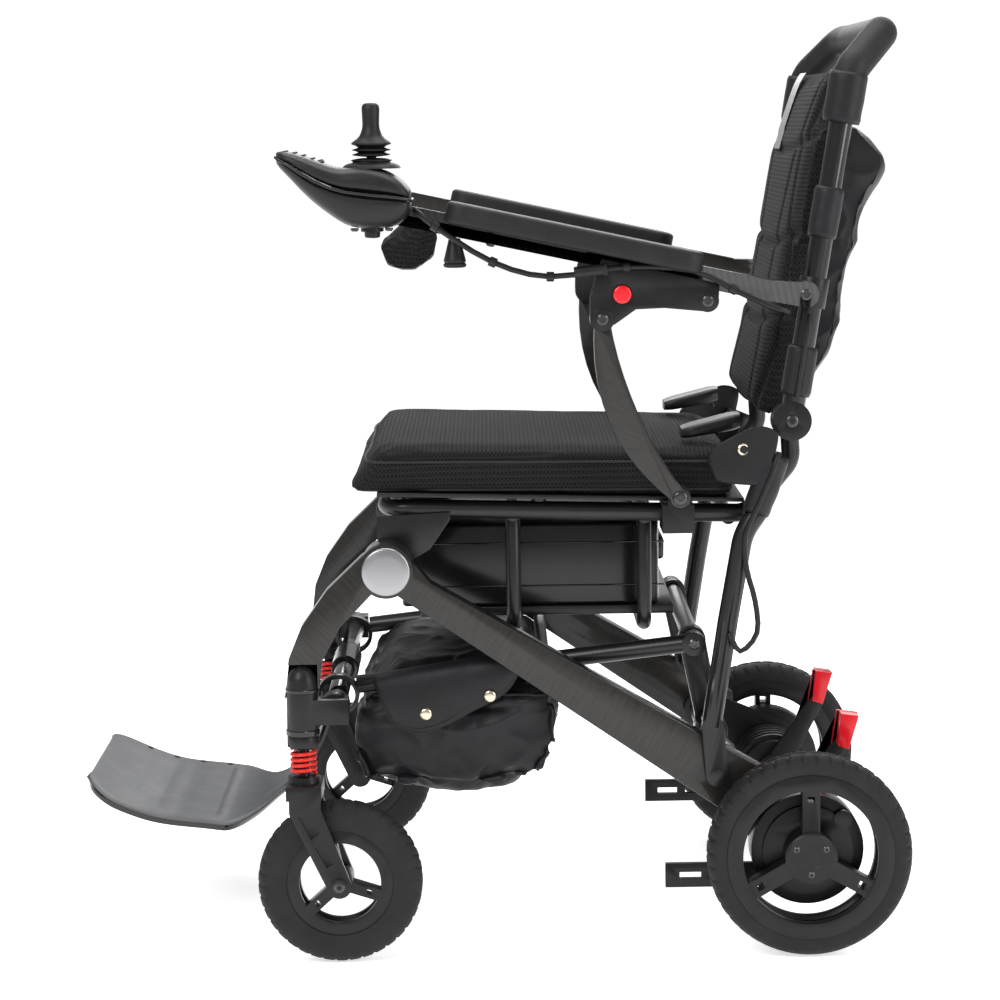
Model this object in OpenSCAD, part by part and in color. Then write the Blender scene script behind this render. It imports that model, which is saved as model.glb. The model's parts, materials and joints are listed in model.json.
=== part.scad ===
// Folding power wheelchair. X points to the rear, Y to the occupant's right, Z up.
// The origin is on the floor under the middle of the chair.

/* [Wheels] */
// Diameter of the rear drive wheels over the tyre
rear_wheel_d = 222; // [200:1:236]
// Width of the rear tyre
rear_tyre_w = 50; // [40:1:54]
// Diameter of the rear rim
rear_rim_d = 180; // [150:1:184]
// Diameter of the front castor wheels over the tyre
castor_wheel_d = 178; // [150:1:190]
// Width of the castor tyre
castor_tyre_w = 40; // [32:1:40]
// Diameter of the castor rim
castor_rim_d = 116; // [96:1:130]
// Distance between the left and right wheel planes
track = 516; // [514:1:540]
// How far the castor axle trails behind its swivel
castor_trail = 37; // [30:1:42]

/* [Frame] */
// Thickness of the side beams across the chair
beam_w = 26; // [20:1:26]
// Outside diameter of the seat rails and lower tubes
rail_d = 20; // [16:1:22]
// Outside diameter of the rear posts and the back tubes
post_d = 22; // [18:1:24]
// Diameter of the hinge pins
pin_d = 10; // [8:1:12]
// Backward slope of the seat in degrees
seat_rake = 1.6; // [0:0.1:3]

/* [Seat and back] */
// Front to back length of the seat cushion
cushion_l = 416; // [350:1:416]
// Width of the seat cushion
cushion_w = 430; // [350:1:436]
// Thickness of the seat cushion
cushion_t = 48; // [36:1:60]
// Width of the back pad
back_pad_w = 356; // [300:1:358]

/* [Armrests] */
// Length of an armrest pad
arm_pad_l = 276; // [220:1:290]
// Width of an armrest pad
arm_pad_w = 55; // [45:1:64]
// Thickness of an armrest pad
arm_pad_t = 14; // [10:1:20]
// Width of the controller
controller_w = 84; // [70:1:90]
// Diameter of the socket in the front of each arm beam
socket_d = 16; // [10:0.5:17]
// Depth of that socket
socket_l = 50; // [30:1:60]

/* [Fits] */
// Radial clearance of a hinge pin in its hole
fit = 0.05; // [0.02:0.01:0.1]
// Gap between faces that slide past each other
gap = 0.5; // [0.4:0.1:1]

/* [Hidden] */
$fn = 64;

// Places in the side view, as [x, z]
rear_axle = [342.5, rear_wheel_d / 2];
hub = [-108.5, 425];
swivel_x = -200.5;
crossbar = [-165.5, 278];
strut_top = [223.5, 330];
strut_foot = [240, 246];
back_hinge = [327.5, 576];
arm_hinge = [339.5, 713];
support_foot = [206, 498];
support_top = [124.5, 690];
stick = [-115.5, 838];

// Places across the chair, for the right side
wheel_y = track / 2;
beam_in = 229 - beam_w;
beam_out = 229;
rail_y = 190;
rail_r = rail_d / 2;
post_y = 226;
post_r = post_d / 2;
lower_y = 185;
back_y = 213;
arm_y = 243;
pin_r = pin_d / 2;

rear_rim_r = rear_rim_d / 2;
rear_spoke_turn = 90;
rim_hole_r = rear_rim_r - 17;
castor_rim_r = castor_rim_d / 2;
castor_spoke_turn = -18;
castor_r = castor_wheel_d / 2;
castor_axle = [swivel_x + castor_trail, castor_r];

// The castor stack, from the fork crown up
crown_z = castor_wheel_d + 5;
crown_t = 15;
collar_t = 7;
spring_z = crown_z + crown_t + collar_t;
spring_l = 32;
column_z = spring_z + spring_l + 12;
column_h = 51;
column_r = 17;
stem_r = 12;
rod_r = 6;

// Height of a cross tube under the seat
function cross_z(x) = 479 - (x + 109) * 0.028;

function unit(v) = v / norm(v);
function at(p, y) = [p[0], y, p[1]];
function cutback(pts, i, bend) = i <= 0 || i >= len(pts) - 1 ? 0
    : bend * tan(acos(unit(pts[i] - pts[i - 1]) * unit(pts[i + 1] - pts[i])) / 2);

// Draws its children on the right side and mirrored on the left
module both() { children(); mirror([0, 1, 0]) children(); }

// Draws its children on the right side when s is 1 and on the left when it is -1
module on_side(s) { if (s > 0) children(); else mirror([0, 1, 0]) children(); }

// Extrudes a side view outline between two places across the chair
module slab(y0, y1) { translate([0, y1, 0]) rotate([90, 0, 0]) linear_extrude(y1 - y0) children(); }

// A round bar across the chair
module bar(p, r, y0, y1) { translate([p[0], y0, p[1]]) rotate([-90, 0, 0]) cylinder(r = r, h = y1 - y0); }

// Turns an outline of [radius, y] points round a line across the chair
module turned(p) { translate([p[0], 0, p[1]]) rotate([-90, 0, 0]) rotate_extrude($fn = 96) children(); }

module disc(p, r) { translate(p) circle(r); }

module ring_2d(r, bore) { difference() { circle(r, $fn = 32); if (bore > 0) circle(bore, $fn = 32); } }

// A straight round tube between two points
module rod(a, b, r, bore = 0) {
    d = b - a;
    translate(a) rotate([0, acos(d[2] / norm(d)), atan2(d[1], d[0])])
        linear_extrude(norm(d)) ring_2d(r, bore);
}

// The bend of a tube at the middle one of three points
module elbow(p0, p1, p2, r, bend, bore = 0) {
    u = unit(p1 - p0);
    v = unit(p2 - p1);
    n = unit(cross(u, v));
    turn = acos(u * v);
    e = cross(u, n);
    c = p1 - u * bend * tan(turn / 2) - e * bend;
    multmatrix([[e[0], u[0], n[0], c[0]], [e[1], u[1], n[1], c[1]], [e[2], u[2], n[2], c[2]], [0, 0, 0, 1]])
        rotate_extrude(angle = turn, $fn = 96) translate([bend, 0]) ring_2d(r, bore);
}

// A bent tube through a list of corner points
module tube(pts, r, bend, bore = 0) {
    for (i = [0 : len(pts) - 2]) {
        u = unit(pts[i + 1] - pts[i]);
        rod(pts[i] + u * cutback(pts, i, bend), pts[i + 1] - u * cutback(pts, i + 1, bend), r, bore);
    }
    if (len(pts) > 2) for (i = [1 : len(pts) - 2]) elbow(pts[i - 1], pts[i], pts[i + 1], r, bend, bore);
}

// The centre line of a bent tube: an arc of steps at each corner of the list
function corner(a, b, c, bend) = let (u = unit(b - a), v = unit(c - b), turn = acos(u * v),
    e = cross(u, unit(cross(u, v))), m = b - u * bend * tan(turn / 2) - e * bend)
    [for (k = [0 : 6]) m + bend * (e * cos(turn * k / 6) + u * sin(turn * k / 6))];
function bent(pts, bend) = let (n = len(pts) - 1) concat([pts[0]],
    [for (i = [1 : n - 1]) each corner(pts[i - 1], pts[i], pts[i + 1], bend)], [pts[n]]);
function normals(ts, i, a) = let (b = unit(a - ts[i] * (a * ts[i])))
    i >= len(ts) - 1 ? [b] : concat([b], normals(ts, i + 1, b));
function loops(p, r, sides) = let (n = len(p) - 1,
    ts = [for (i = [0 : n]) unit(p[min(i + 1, n)] - p[max(i - 1, 0)])], ns = normals(ts, 0, cross(ts[0], [0.3, 0.9, 0.2])))
    [for (i = [0 : n]) for (k = [0 : sides - 1]) p[i] + r * (ns[i] * cos(k * 360 / sides)
        + cross(ts[i], ns[i]) * sin(k * 360 / sides))];

// A smooth bent tube in one piece, hollow when it has a bore
module pipe(pts, r, bend, bore = 0, sides = 24) {
    p = bent(pts, bend);
    n = len(p);
    m = n * sides;
    outer = [for (i = [0 : n - 2]) for (k = [0 : sides - 1]) let (q = (k + 1) % sides)
        [i * sides + k, (i + 1) * sides + k, (i + 1) * sides + q, i * sides + q]];
    inner = [for (f = outer) [for (j = [3 : -1 : 0]) f[j] + m]];
    solid_ends = [[for (k = [0 : sides - 1]) k], [for (k = [0 : sides - 1]) m - 1 - k]];
    open_ends = [for (k = [0 : sides - 1]) for (end = [0, 1]) let (q = (k + 1) % sides, o = end * (m - sides))
        end == 0 ? [o + k, o + q, m + o + q, m + o + k] : [o + q, o + k, m + o + k, m + o + q]];
    if (bore > 0) polyhedron(concat(loops(p, r, sides), loops(p, bore, sides)),
        concat(outer, inner, open_ends), convexity = 8);
    else polyhedron(loops(p, r, sides), concat(outer, solid_ends), convexity = 8);
}

// Smooth curve through a cable's route, three steps to each stretch
function route_point(r, i, t) = let (n = len(r) - 1, a = r[max(i - 1, 0)], b = r[i], c = r[i + 1], d = r[min(i + 2, n)])
    ((2 * b) + (c - a) * t + (2 * a - 5 * b + 4 * c - d) * t * t + (3 * b - a - 3 * c + d) * t * t * t) / 2;
function smooth(r) = concat([for (i = [0 : len(r) - 2]) for (s = [0 : 2]) route_point(r, i, s / 3)], [r[len(r) - 1]]);

// A cable swept along a route
module cable(route, r) {
    p = smooth(route);
    n = len(p);
    sides = 8;
    rings = [for (i = [0 : n - 1]) let (t = unit(p[min(i + 1, n - 1)] - p[max(i - 1, 0)]),
        a = unit(cross(t, [0, 1, 0])), b = cross(t, a))
        for (k = [0 : sides - 1]) p[i] + r * (a * cos(k * 45) + b * sin(k * 45))];
    walls = [for (i = [0 : n - 2]) for (k = [0 : sides - 1]) let (q = (k + 1) % sides)
        [i * sides + k, (i + 1) * sides + k, (i + 1) * sides + q, i * sides + q]];
    polyhedron(rings, concat([[for (k = [0 : sides - 1]) k]], walls,
        [[for (k = [0 : sides - 1]) n * sides - 1 - k]]), convexity = 6);
}

// ---- chassis ----

module side_beams() {
    color("#2b2a29") both() {
        slab(beam_in, beam_out) difference() {
            union() {
                disc(hub, 28);
                polygon([[-119, 449], [-88, 440], [-62, 407], [300, 196], [300, 138], [252, 152],
                    [-99, 394], [-128, 405]]);
            }
            disc(rear_axle, rear_rim_r - 28.5);
        }
        bar(hub, 8, beam_out, beam_out + 32);
    }
}

module hub_caps() {
    color("silver") both() translate([hub[0], beam_out + gap + 32.5, hub[1]]) rotate([-90, 0, 0])
        rotate_extrude() polygon([[0, 0], [26, 0], [26, 2], [24, 3.4], [16, 4.4], [0, 5]]);
}

module rear_crossmember() {
    color("#1c1c1d") {
        rod([262, 6 - beam_in, 176], [262, beam_in - 6, 176], 16);
        both() rod([262, 60, 176], [262, 90, 176], 20);
    }
}

module axle_plates() {
    color("#1c1c1d") both() slab(beam_in - 6, beam_in) difference() {
        union() {
            disc(rear_axle, 52);
            disc([262, 176], 22);
            polygon([[250, 158], [275, 195], [370, 155], [318, 70]]);
            polygon([[190.5, 60], [330, 60], [330, 87], [190.5, 87]]);
        }
        for (x = [206, 240]) translate([x, 70]) square([24, 7]);
    }
}

module motors() {
    color("#161617") both() {
        bar(rear_axle, 45, 133, beam_in - 6);
        bar(rear_axle, 39, 125, 133);
        bar(rear_axle, 10, 112, 125);
        for (i = [0 : 3]) bar(rear_axle, 47, 140 + i * 13, 146 + i * 13);
    }
}

module gearboxes() {
    color("#141415") both() {
        bar(rear_axle, rear_rim_r - 29, beam_in, wheel_y - 18);
        bar(rear_axle, 49, wheel_y - 18, wheel_y - 12);
        bar(rear_axle, 8, wheel_y - 12, wheel_y + 8);
        bar(rear_axle + [37, 34], 10, wheel_y - 18, wheel_y - 8);
    }
}

module brake_lever(s) {
    color("#d4101a") on_side(s) difference() {
        union() {
            bar(rear_axle, 24, 113, 124.5);
            slab(115, 121) polygon([rear_axle + [-8, 20], rear_axle + [40, 90], rear_axle + [46, 128],
                rear_axle + [70, 124], rear_axle + [57, 84], rear_axle + [20, 12]]);
            slab(113, 137) polygon([rear_axle + [46, 90], rear_axle + [49, 127], rear_axle + [69, 124],
                rear_axle + [58, 86]]);
        }
        bar(rear_axle, 10 + fit, 112, 126);
    }
}

module rear_posts() {
    foot = at(strut_foot, post_y);
    color("#18181a") {
        both() {
            tube([foot, [258, post_y, 361], [275, post_y, 456], [296, post_y, 486]], post_r, 60);
            slab(beam_out, beam_out + 5) {
                disc([245.5, 192], 12);
                disc([241, 246], 12);
                polygon([[229, 246], [233.5, 192], [257.5, 192], [253, 246]]);
            }
            slab(rail_y + rail_r + 0.2, post_y - post_r + 2) disc([284, 476], 9);
            bar([245.5, 192], 8, beam_out + 5, beam_out + 7);
        }
        bar(strut_foot, 8, 4 - post_y, post_y - 4);
    }
}

// The seat parts are drawn level and turned to the seat's slope
module raked() { translate([-109, 0, 484]) rotate([0, seat_rake, 0]) children(); }

module seat_frame() {
    color("#18181a") {
        pipe([at(back_hinge, -rail_y), [330, -rail_y, 530], [282, -rail_y, 473], [-109, -rail_y, 484],
            [-109, rail_y, 484], [282, rail_y, 473], [330, rail_y, 530], at(back_hinge, rail_y)], rail_r, 26);
        both() {
            bar(back_hinge, 15, rail_y - rail_r, rail_y + rail_r);
            bar(back_hinge, pin_r, rail_y + rail_r, 228);
            slab(beam_in - 6, beam_in) polygon([[-119, 476], [-119, 440], [-96, 420], [-62, 440], [-40, 472],
                [-40, 480]]);
        }
        for (x = [28, 171, 262]) rod([x, -rail_y, cross_z(x)], [x, rail_y, cross_z(x)], 8);
    }
}

module seat_pan() {
    color("#111111") {
        raked() translate([-10, 4 - cushion_w / 2, 14.5]) cube([cushion_l - 20, cushion_w - 8, 4.5]);
        both() for (x = [12, 165]) raked() translate([x, rail_y, 10.2]) cylinder(d = 16, h = 4.3);
    }
}

module seat_cushion() {
    w = cushion_w / 2 - 24;
    color("#1d1d1f") raked() translate([-34, 0, 19.3]) linear_extrude(cushion_t) {
        translate([24, -w - 24]) square([cushion_l - 48, cushion_w]);
        translate([0, -w]) square([cushion_l, 2 * w]);
        for (x = [24, cushion_l - 24], y = [-w, w]) translate([x, y]) circle(24);
    }
}

module battery_pack() {
    color("#0f0f10") {
        translate([-95, -140, 366]) cube([284, 280, 92]);
        translate([189, -40, 400]) cube([12, 80, 26]);
    }
}

module battery_cradle() {
    color("#18181a") {
        translate([-75, -145, 356]) cube([280, 290, 9.7]);
        for (x = [28, 171]) tube([[x, -170, cross_z(x) - 8.2], [x, -170, 347.5],
            [x, 170, 347.5], [x, 170, cross_z(x) - 8.2]], 8, 20);
    }
}

module arm_clamps() {
    color("#1a1a1b") both() {
        difference() {
            union() {
                slab(rail_y - 15, 235) translate([188, 458]) square([34, 30]);
                slab(222, 235) {
                    translate([194, 480]) square([24, 20]);
                    disc(support_foot, 12);
                }
            }
            rod([170, rail_y, 475.9], [240, rail_y, 474], rail_r + 0.2);
            bar([171, cross_z(171)], 8.3, 150, rail_y + rail_r);
        }
        bar(support_foot, pin_r, 235, 250.5);
    }
}

// ---- front section, hinged at the hubs ----

module front_arms() {
    top = column_z + column_h;
    color("#2b2a29") both() difference() {
        slab(beam_out + gap, beam_out + gap + 32) {
            disc(hub, 29);
            polygon([[-109, 454], [-134, 441], [-172, 405], [-200, 366], [-214, 332], [-219, top - 10],
                [-184, top - 10], [-179, top + 28], [-158, 366], [-124, 401]]);
        }
        bar(hub, 8 + fit, beam_out, beam_out + 40);
        translate([swivel_x, wheel_y, top - 20]) cylinder(r = column_r + 0.3, h = 46);
    }
}

module castor_columns() {
    color("#141415") both() {
        translate([swivel_x, wheel_y, column_z]) difference() {
            union() {
                rotate_extrude() polygon([[0, 0], [column_r, 0], [column_r, column_h], [15.5, column_h + 12],
                    [11, column_h + 20], [4, column_h + 24], [0, column_h + 24]]);
                translate([0, -13, 13]) cube([50, 26, 27]);
            }
            translate([0, 0, -1]) cylinder(r = stem_r, h = column_h + 1);
        }
        bar(crossbar, 15, wheel_y - 27, wheel_y - 1);
        bar(crossbar, 9, wheel_y - 1, wheel_y + 8);
    }
}

module front_crossbar() {
    color("#161617") bar(crossbar, 11, 27 - wheel_y, wheel_y - 27);
}

// Footplate: a bent plate that narrows to a neck at its hinge
fp_line = [[-453.5, 172], [-420, 151], [-374, 134], [-317, 126], [-290, 123], [-265, 126], [-245, 136],
    [-225, 152], [-205, 178], [-190, 210], [-180, 250], [-178, 272]];
fp_t = 7;
function fp_side(i) = let (n = len(fp_line) - 1, t = unit(fp_line[min(i + 1, n)] - fp_line[max(i - 1, 0)]))
    [-t[1], t[0]];

module footplate() {
    n = len(fp_line) - 1;
    color("#5a5c60") difference() {
        union() {
            intersection() {
                slab(-150, 150) polygon(concat([for (i = [0 : n]) fp_line[i] + fp_side(i) * fp_t / 2],
                    [for (i = [n : -1 : 0]) fp_line[i] - fp_side(i) * fp_t / 2]));
                translate([0, 0, 90]) linear_extrude(220) union() {
                    translate([-460, -130]) square([175, 260]);
                    translate([-430, -150]) square([145, 300]);
                    for (y = [-130, 130]) translate([-433.4, y]) circle(20);
                    polygon([[-286, -150], [-286, 150], [-232, 52], [-232, -52]]);
                    translate([-233, -42]) square([80, 84]);
                }
            }
            bar(crossbar, 16, -42, 42);
        }
        bar(crossbar, 11 + fit, -44, 44);
    }
}

// ---- lower frame and bag, hung on the struts ----

module link_struts() {
    color("#161617") both() difference() {
        slab(150, 170) {
            disc(strut_foot, 14);
            disc(strut_top, 15);
            polygon([strut_foot + [-13, -3], strut_foot + [13, 3], strut_top + [14, 3], strut_top + [-14, -3]]);
        }
        bar(strut_foot, 8 + fit, 149, 171);
        bar(strut_top, rail_r + fit, 149, 171);
    }
}

module lower_frame() {
    color("#18181a") {
        both() {
            difference() {
                union() {
                    rod([-145, lower_y, 289], at(strut_top, lower_y), rail_r);
                    bar(crossbar, 23, lower_y - 8, lower_y + 8);
                }
                bar(crossbar, 18.5, lower_y - 12, lower_y + 12);
            }
            bar(strut_top, 13, lower_y - 8, lower_y + 12);
        }
        bar(strut_top, rail_r, -lower_y, lower_y);
        bar([60, 309.5], 7, -lower_y, lower_y);
    }
}

module under_bag() {
    color("#101012") {
        slab(-198, 198) polygon([[-118, 172], [-132, 215], [-131, 268], [-122, 281], [40, 299], [70, 290],
            [80, 250], [80, 215], [62, 176], [20, 167], [-80, 167]]);
        slab(-172, 172) polygon([[-122, 281], [-112, 298], [-60, 305], [20, 309], [45, 306], [40, 299]]);
    }
}

// ---- castors ----

module castor_stem(s) {
    color("#141415") on_side(s) translate([swivel_x, wheel_y, 0]) difference() {
        union() {
            translate([0, 0, spring_z + spring_l]) cylinder(r = column_r, h = 12 - 0.3);
            translate([0, 0, column_z - 1]) cylinder(r = stem_r - fit, h = column_h - 2);
        }
        translate([0, 0, spring_z]) cylinder(r = rod_r + fit, h = 120);
    }
}

module castor_fork(s) {
    leg_in = castor_tyre_w / 2 + 3;
    leg = [[swivel_x - 15, crown_z], [swivel_x - 15, crown_z - 14], castor_axle + [-13, -2],
        castor_axle + [13, 2], [swivel_x + 19, crown_z - 10], [swivel_x + 19, crown_z]];
    color("#161617") on_side(s) translate([0, wheel_y, 0]) {
        slab(-leg_in - 7, leg_in + 7) translate([swivel_x - 18, crown_z]) square([38, crown_t]);
        for (side = [-1, 1]) difference() {
            union() {
                slab(min(side * leg_in, side * (leg_in + 7)), max(side * leg_in, side * (leg_in + 7))) {
                    disc(castor_axle, 13);
                    polygon(leg);
                }
                bar(castor_axle, 9, min(side * (leg_in + 7), side * (leg_in + 9)),
                    max(side * (leg_in + 7), side * (leg_in + 9)));
            }
            if (side > 0) slab(leg_in + 4, leg_in + 8) {
                polygon([[swivel_x - 5, 166], [swivel_x + 10, 170], [swivel_x + 17, 148], [swivel_x + 8, 141]]);
                polygon([[swivel_x + 12, 132], [swivel_x + 22, 138], [swivel_x + 31, 114], [swivel_x + 24, 110]]);
            }
        }
        bar(castor_axle, pin_r, -leg_in, leg_in);
        translate([swivel_x, 0, crown_z + crown_t]) cylinder(r = column_r, h = collar_t - 0.3);
        translate([swivel_x, 0, crown_z + crown_t]) cylinder(r = rod_r, h = collar_t + spring_l - 0.5);
    }
}

module castor_spring(s) {
    turns = 4.5;
    steps = 54;
    sides = 8;
    wire = 2.2;
    coil_r = 12.5;
    rise = spring_l - 2 * wire - 0.8;
    rings = [for (i = [0 : steps]) let (a = 360 * turns * i / steps, z = spring_z + wire + 0.4 + rise * i / steps)
        for (k = [0 : sides - 1]) let (c = coil_r + wire * cos(k * 45))
            [c * cos(a), c * sin(a), z + wire * sin(k * 45)]];
    walls = [for (i = [0 : steps - 1]) for (k = [0 : sides - 1]) let (q = (k + 1) % sides)
        [i * sides + k, (i + 1) * sides + k, (i + 1) * sides + q, i * sides + q]];
    color("#c8261e") on_side(s) translate([swivel_x, wheel_y, 0])
        polyhedron(rings, concat([[for (k = [0 : sides - 1]) k]], walls,
            [[for (k = [0 : sides - 1]) (steps + 1) * sides - 1 - k]]), convexity = 8);
}

// A spoked rim: hub, three spokes and a ring, all round a line across the chair
module rim(p, ring_in, ring_out, w, hub_r, hub_w, bore, spoke_w, phase) {
    difference() {
        union() {
            turned(p) polygon([[ring_in, -w / 2], [ring_out, -w / 2], [ring_out, w / 2], [ring_in, w / 2],
                [ring_in, w / 4], [ring_in + 4, w / 5], [ring_in + 4, -w / 5], [ring_in, -w / 4]]);
            bar(p, hub_r, -hub_w / 2, hub_w / 2);
            for (a = [0, 120, 240]) slab(0, hub_w / 2 - 2) translate(p) rotate(a + phase)
                translate([hub_r - 4, -spoke_w / 2]) square([ring_in - hub_r + 6, spoke_w]);
        }
        bar(p, bore, -hub_w, hub_w);
        for (a = [0, 120, 240]) slab(-1, hub_w) translate(p) rotate(a + phase)
            translate([ring_in - 14, -spoke_w / 5]) square(spoke_w / 2.5);
    }
}

module tyre(p, r_in, r_out, w) {
    turned(p) polygon([[r_in, -w * 0.4], [r_in + 4, -w * 0.47], [r_in + (r_out - r_in) * 0.45, -w / 2],
        [r_out - 6, -w * 0.44], [r_out - 1.2, -w * 0.28], [r_out, -w * 0.1], [r_out, w * 0.1],
        [r_out - 1.2, w * 0.28], [r_out - 6, w * 0.44], [r_in + (r_out - r_in) * 0.45, w / 2],
        [r_in + 4, w * 0.47], [r_in, w * 0.4]]);
}

module castor_rim(s) {
    color("#161617") on_side(s) translate([0, wheel_y, 0])
        rim(castor_axle, castor_rim_r - 14, castor_rim_r, 30, 14, 36, pin_r + fit, 13, castor_spoke_turn);
}

module castor_tyre(s) {
    color("#1b1b1b") on_side(s) translate([0, wheel_y, 0]) tyre(castor_axle, castor_rim_r, castor_r, castor_tyre_w);
}

module rear_rim(s) {
    color("#161617") on_side(s) translate([0, wheel_y, 0]) difference() {
        rim(rear_axle, rim_hole_r, rear_rim_r, 42, 28, 44, 8 + fit, 19, rear_spoke_turn);
        bar(rear_axle, 51, -30, -6);
    }
}

module rear_tyre(s) {
    color("#1b1b1b") on_side(s) translate([0, wheel_y, 0])
        tyre(rear_axle, rear_rim_r, rear_wheel_d / 2, rear_tyre_w);
}

// ---- folding back ----

back_top = [389.5, 945];
back_foot = at(back_hinge, back_y);
back_lean = unit(at(back_top, back_y) - back_foot);
grip_line = [back_foot + back_lean * (pin_r + 5), at(back_top, back_y), [428, 172, 986], [434, 120, 986]];
back_line = concat(grip_line, [for (i = [3 : -1 : 0]) [grip_line[i][0], -grip_line[i][1], grip_line[i][2]]]);

module back_frame() {
    color("#18181a") pipe(back_line, 12.5, 34);
}

module push_grip() {
    start = grip_line[0] + (grip_line[1] - grip_line[0]) * 0.88;
    line = concat([start], [for (i = [1 : 6]) back_line[i]], [[start[0], -start[1], start[2]]]);
    color("#1a1a1a") pipe(line, 18, 34, 12.9);
}

module back_pad() {
    edge = back_y - 12.5 - 0.3;
    outline = [[381, 958], [352, 860], [330, 740], [312, 650], [291, 574], [306, 570], [324, 574],
        [336, 650], [355, 740], [376, 860], [396, 953]];
    color("#17171a") {
        slab(-back_pad_w / 2, back_pad_w / 2) polygon(outline);
        intersection() {
            slab(-edge, edge) polygon(outline);
            translate([200, -edge - 1, 760]) cube([300, 2 * edge + 2, 132]);
        }
    }
}

module back_bag() {
    color("#101012") slab(-174, 174) polygon([[385, 900], [376.5, 860], [355.5, 740], [336.5, 650], [330, 600],
        [345, 590], [389, 633], [424, 747], [446, 831], [450, 862], [417, 894]]);
}

module back_knuckles() {
    color("#141415") both() difference() {
        bar(back_hinge, 21, rail_y + rail_r + gap, 227);
        bar(back_hinge, pin_r + fit, rail_y, 228);
        rod(back_foot + back_lean * (pin_r + 4.7), at(back_top, back_y), 12.7);
    }
}

module arm_pivots() {
    u = back_lean;
    c = back_foot + u * (arm_hinge[1] - back_hinge[1]) / u[2];
    color("#141415") both() difference() {
        union() {
            rod(c - u * 16, c + u * 16, 16);
            bar(arm_hinge, 12, back_y + 6, arm_y - 13);
            bar(arm_hinge, pin_r, arm_y - 13, arm_y + 8);
        }
        rod(c - u * 30, c + u * 30, 12.7);
    }
}

// ---- armrests ----

arm_slope = atan2(54, 247);
arm_tail = [303, 717];
arm_front = arm_tail + [-cos(arm_slope), sin(arm_slope)] * 401;

// Turns its children so that they run forward and up along the arm beam, from its tail
module along_arm() { translate([arm_tail[0], 0, arm_tail[1]]) rotate([0, arm_slope, 0]) children(); }

module arm_beams() {
    color("#2b2a29") both() difference() {
        union() {
            along_arm() translate([-401, arm_y - 10, -11]) cube([401, 20, 22]);
            slab(arm_y - 10, arm_y + 10) {
                disc(arm_hinge, 14);
                polygon([arm_tail + [-4, 10], arm_tail + [-4, -10], arm_hinge + [-4, -13], arm_hinge + [-2, 13]]);
            }
        }
        bar(arm_hinge, pin_r + fit, 200, 260);
        along_arm() translate([-402, arm_y, 0]) rotate([0, 90, 0]) cylinder(d = socket_d, h = socket_l + 1);
        bar(arm_hinge, 16, arm_y - 12, arm_y - 10);
    }
}

module arm_pads() {
    w = arm_pad_w / 2;
    color("#19191b") both() along_arm() translate([-353, 250, 11]) {
        linear_extrude(arm_pad_t) {
            translate([w - 8, -w]) square([arm_pad_l - 2 * w + 16, arm_pad_w]);
            translate([0, -w + w - 8]) square([arm_pad_l, 16]);
            for (x = [w - 8, arm_pad_l - w + 8], y = [-8, 8]) intersection() {
                translate([x, y]) circle(w - 8);
                translate([0, -w]) square([arm_pad_l, arm_pad_w]);
            }
        }
    }
}

module arm_brackets() {
    button = support_top + [21, 26];
    tail = [235.5, 708];
    web = [[111.5, 690], [112, 712], [124, 754], [248, 726], [247, 708], [235, 696.5], [190, 701],
        [160, 700], [137, 684]];
    color("#141415") both() difference() {
        union() {
            for (y = [arm_y - 14, arm_y + 10]) slab(y, y + 4) {
                disc(support_top, 13);
                disc(tail, 12);
                polygon(web);
            }
            bar(support_top, 3.8, arm_y - 14, arm_y + 14);
            bar(support_top, 11, arm_y + 14, arm_y + 16);
            bar(tail, 9, arm_y - 10, arm_y + 16);
        }
        bar(button, 9.5 + fit, arm_y + 2, arm_y + 20);
    }
}

module release_button(s) {
    color("#d4101a") on_side(s) bar(support_top + [21, 26], 9.5, arm_y + 8, arm_y + 18);
}

// The curved arm: a bow from the seat clamp to the bracket, widest in its middle
function bow_mid(t) = (1 - t) * (1 - t) * support_top + 2 * t * (1 - t) * [128, 575] + t * t * support_foot;
function bow_dir(t) = unit((1 - t) * ([128, 575] - support_top) + t * (support_foot - [128, 575]));
function bow_edge(t, side) = bow_mid(t) + side * (8 + 8 * sin(180 * t)) * [-bow_dir(t)[1], bow_dir(t)[0]];

module arm_supports() {
    color("#2b2a29") both() difference() {
        slab(arm_y - 7, arm_y + 7) {
            polygon(concat([for (t = [0 : 0.1 : 1.001]) bow_edge(t, 1)], [for (t = [1 : -0.1 : -0.001]) bow_edge(t, -1)]));
            disc(support_top, 13);
            disc(support_foot, 11);
        }
        bar(support_top, 10, arm_y - 10, arm_y + 10);
        bar(support_foot, pin_r + fit, arm_y - 10, arm_y + 10);
    }
}

// ---- controller ----

module controller_base() {
    color("#161617") difference() {
        slab(-250 - controller_w / 2, -250 + controller_w / 2) polygon([[-213, 858], [-189, 828], [-163, 806],
            [-140, 789], [-84, 789], [-74, 806], [-74, 819.4]]);
        slab(-250 - controller_w / 2 + 3, -250 + controller_w / 2 - 3) polygon([[-196, 856], [-184, 829],
            [-160, 810], [-138, 793], [-88, 793], [-78, 808], [-78, 825]]);
        mirror([0, 1, 0]) along_arm() translate([-405, arm_y - 10.3, -11.3]) cube([401, 20.6, 22.6]);
    }
    color("#161617") translate([-128, -256, 777]) cube([24, 12, 12.5]);
    color("#161617") translate([stick[0], -250, 792]) cylinder(r = 8, h = stick[1] - 9.3 - 792);
}

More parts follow.
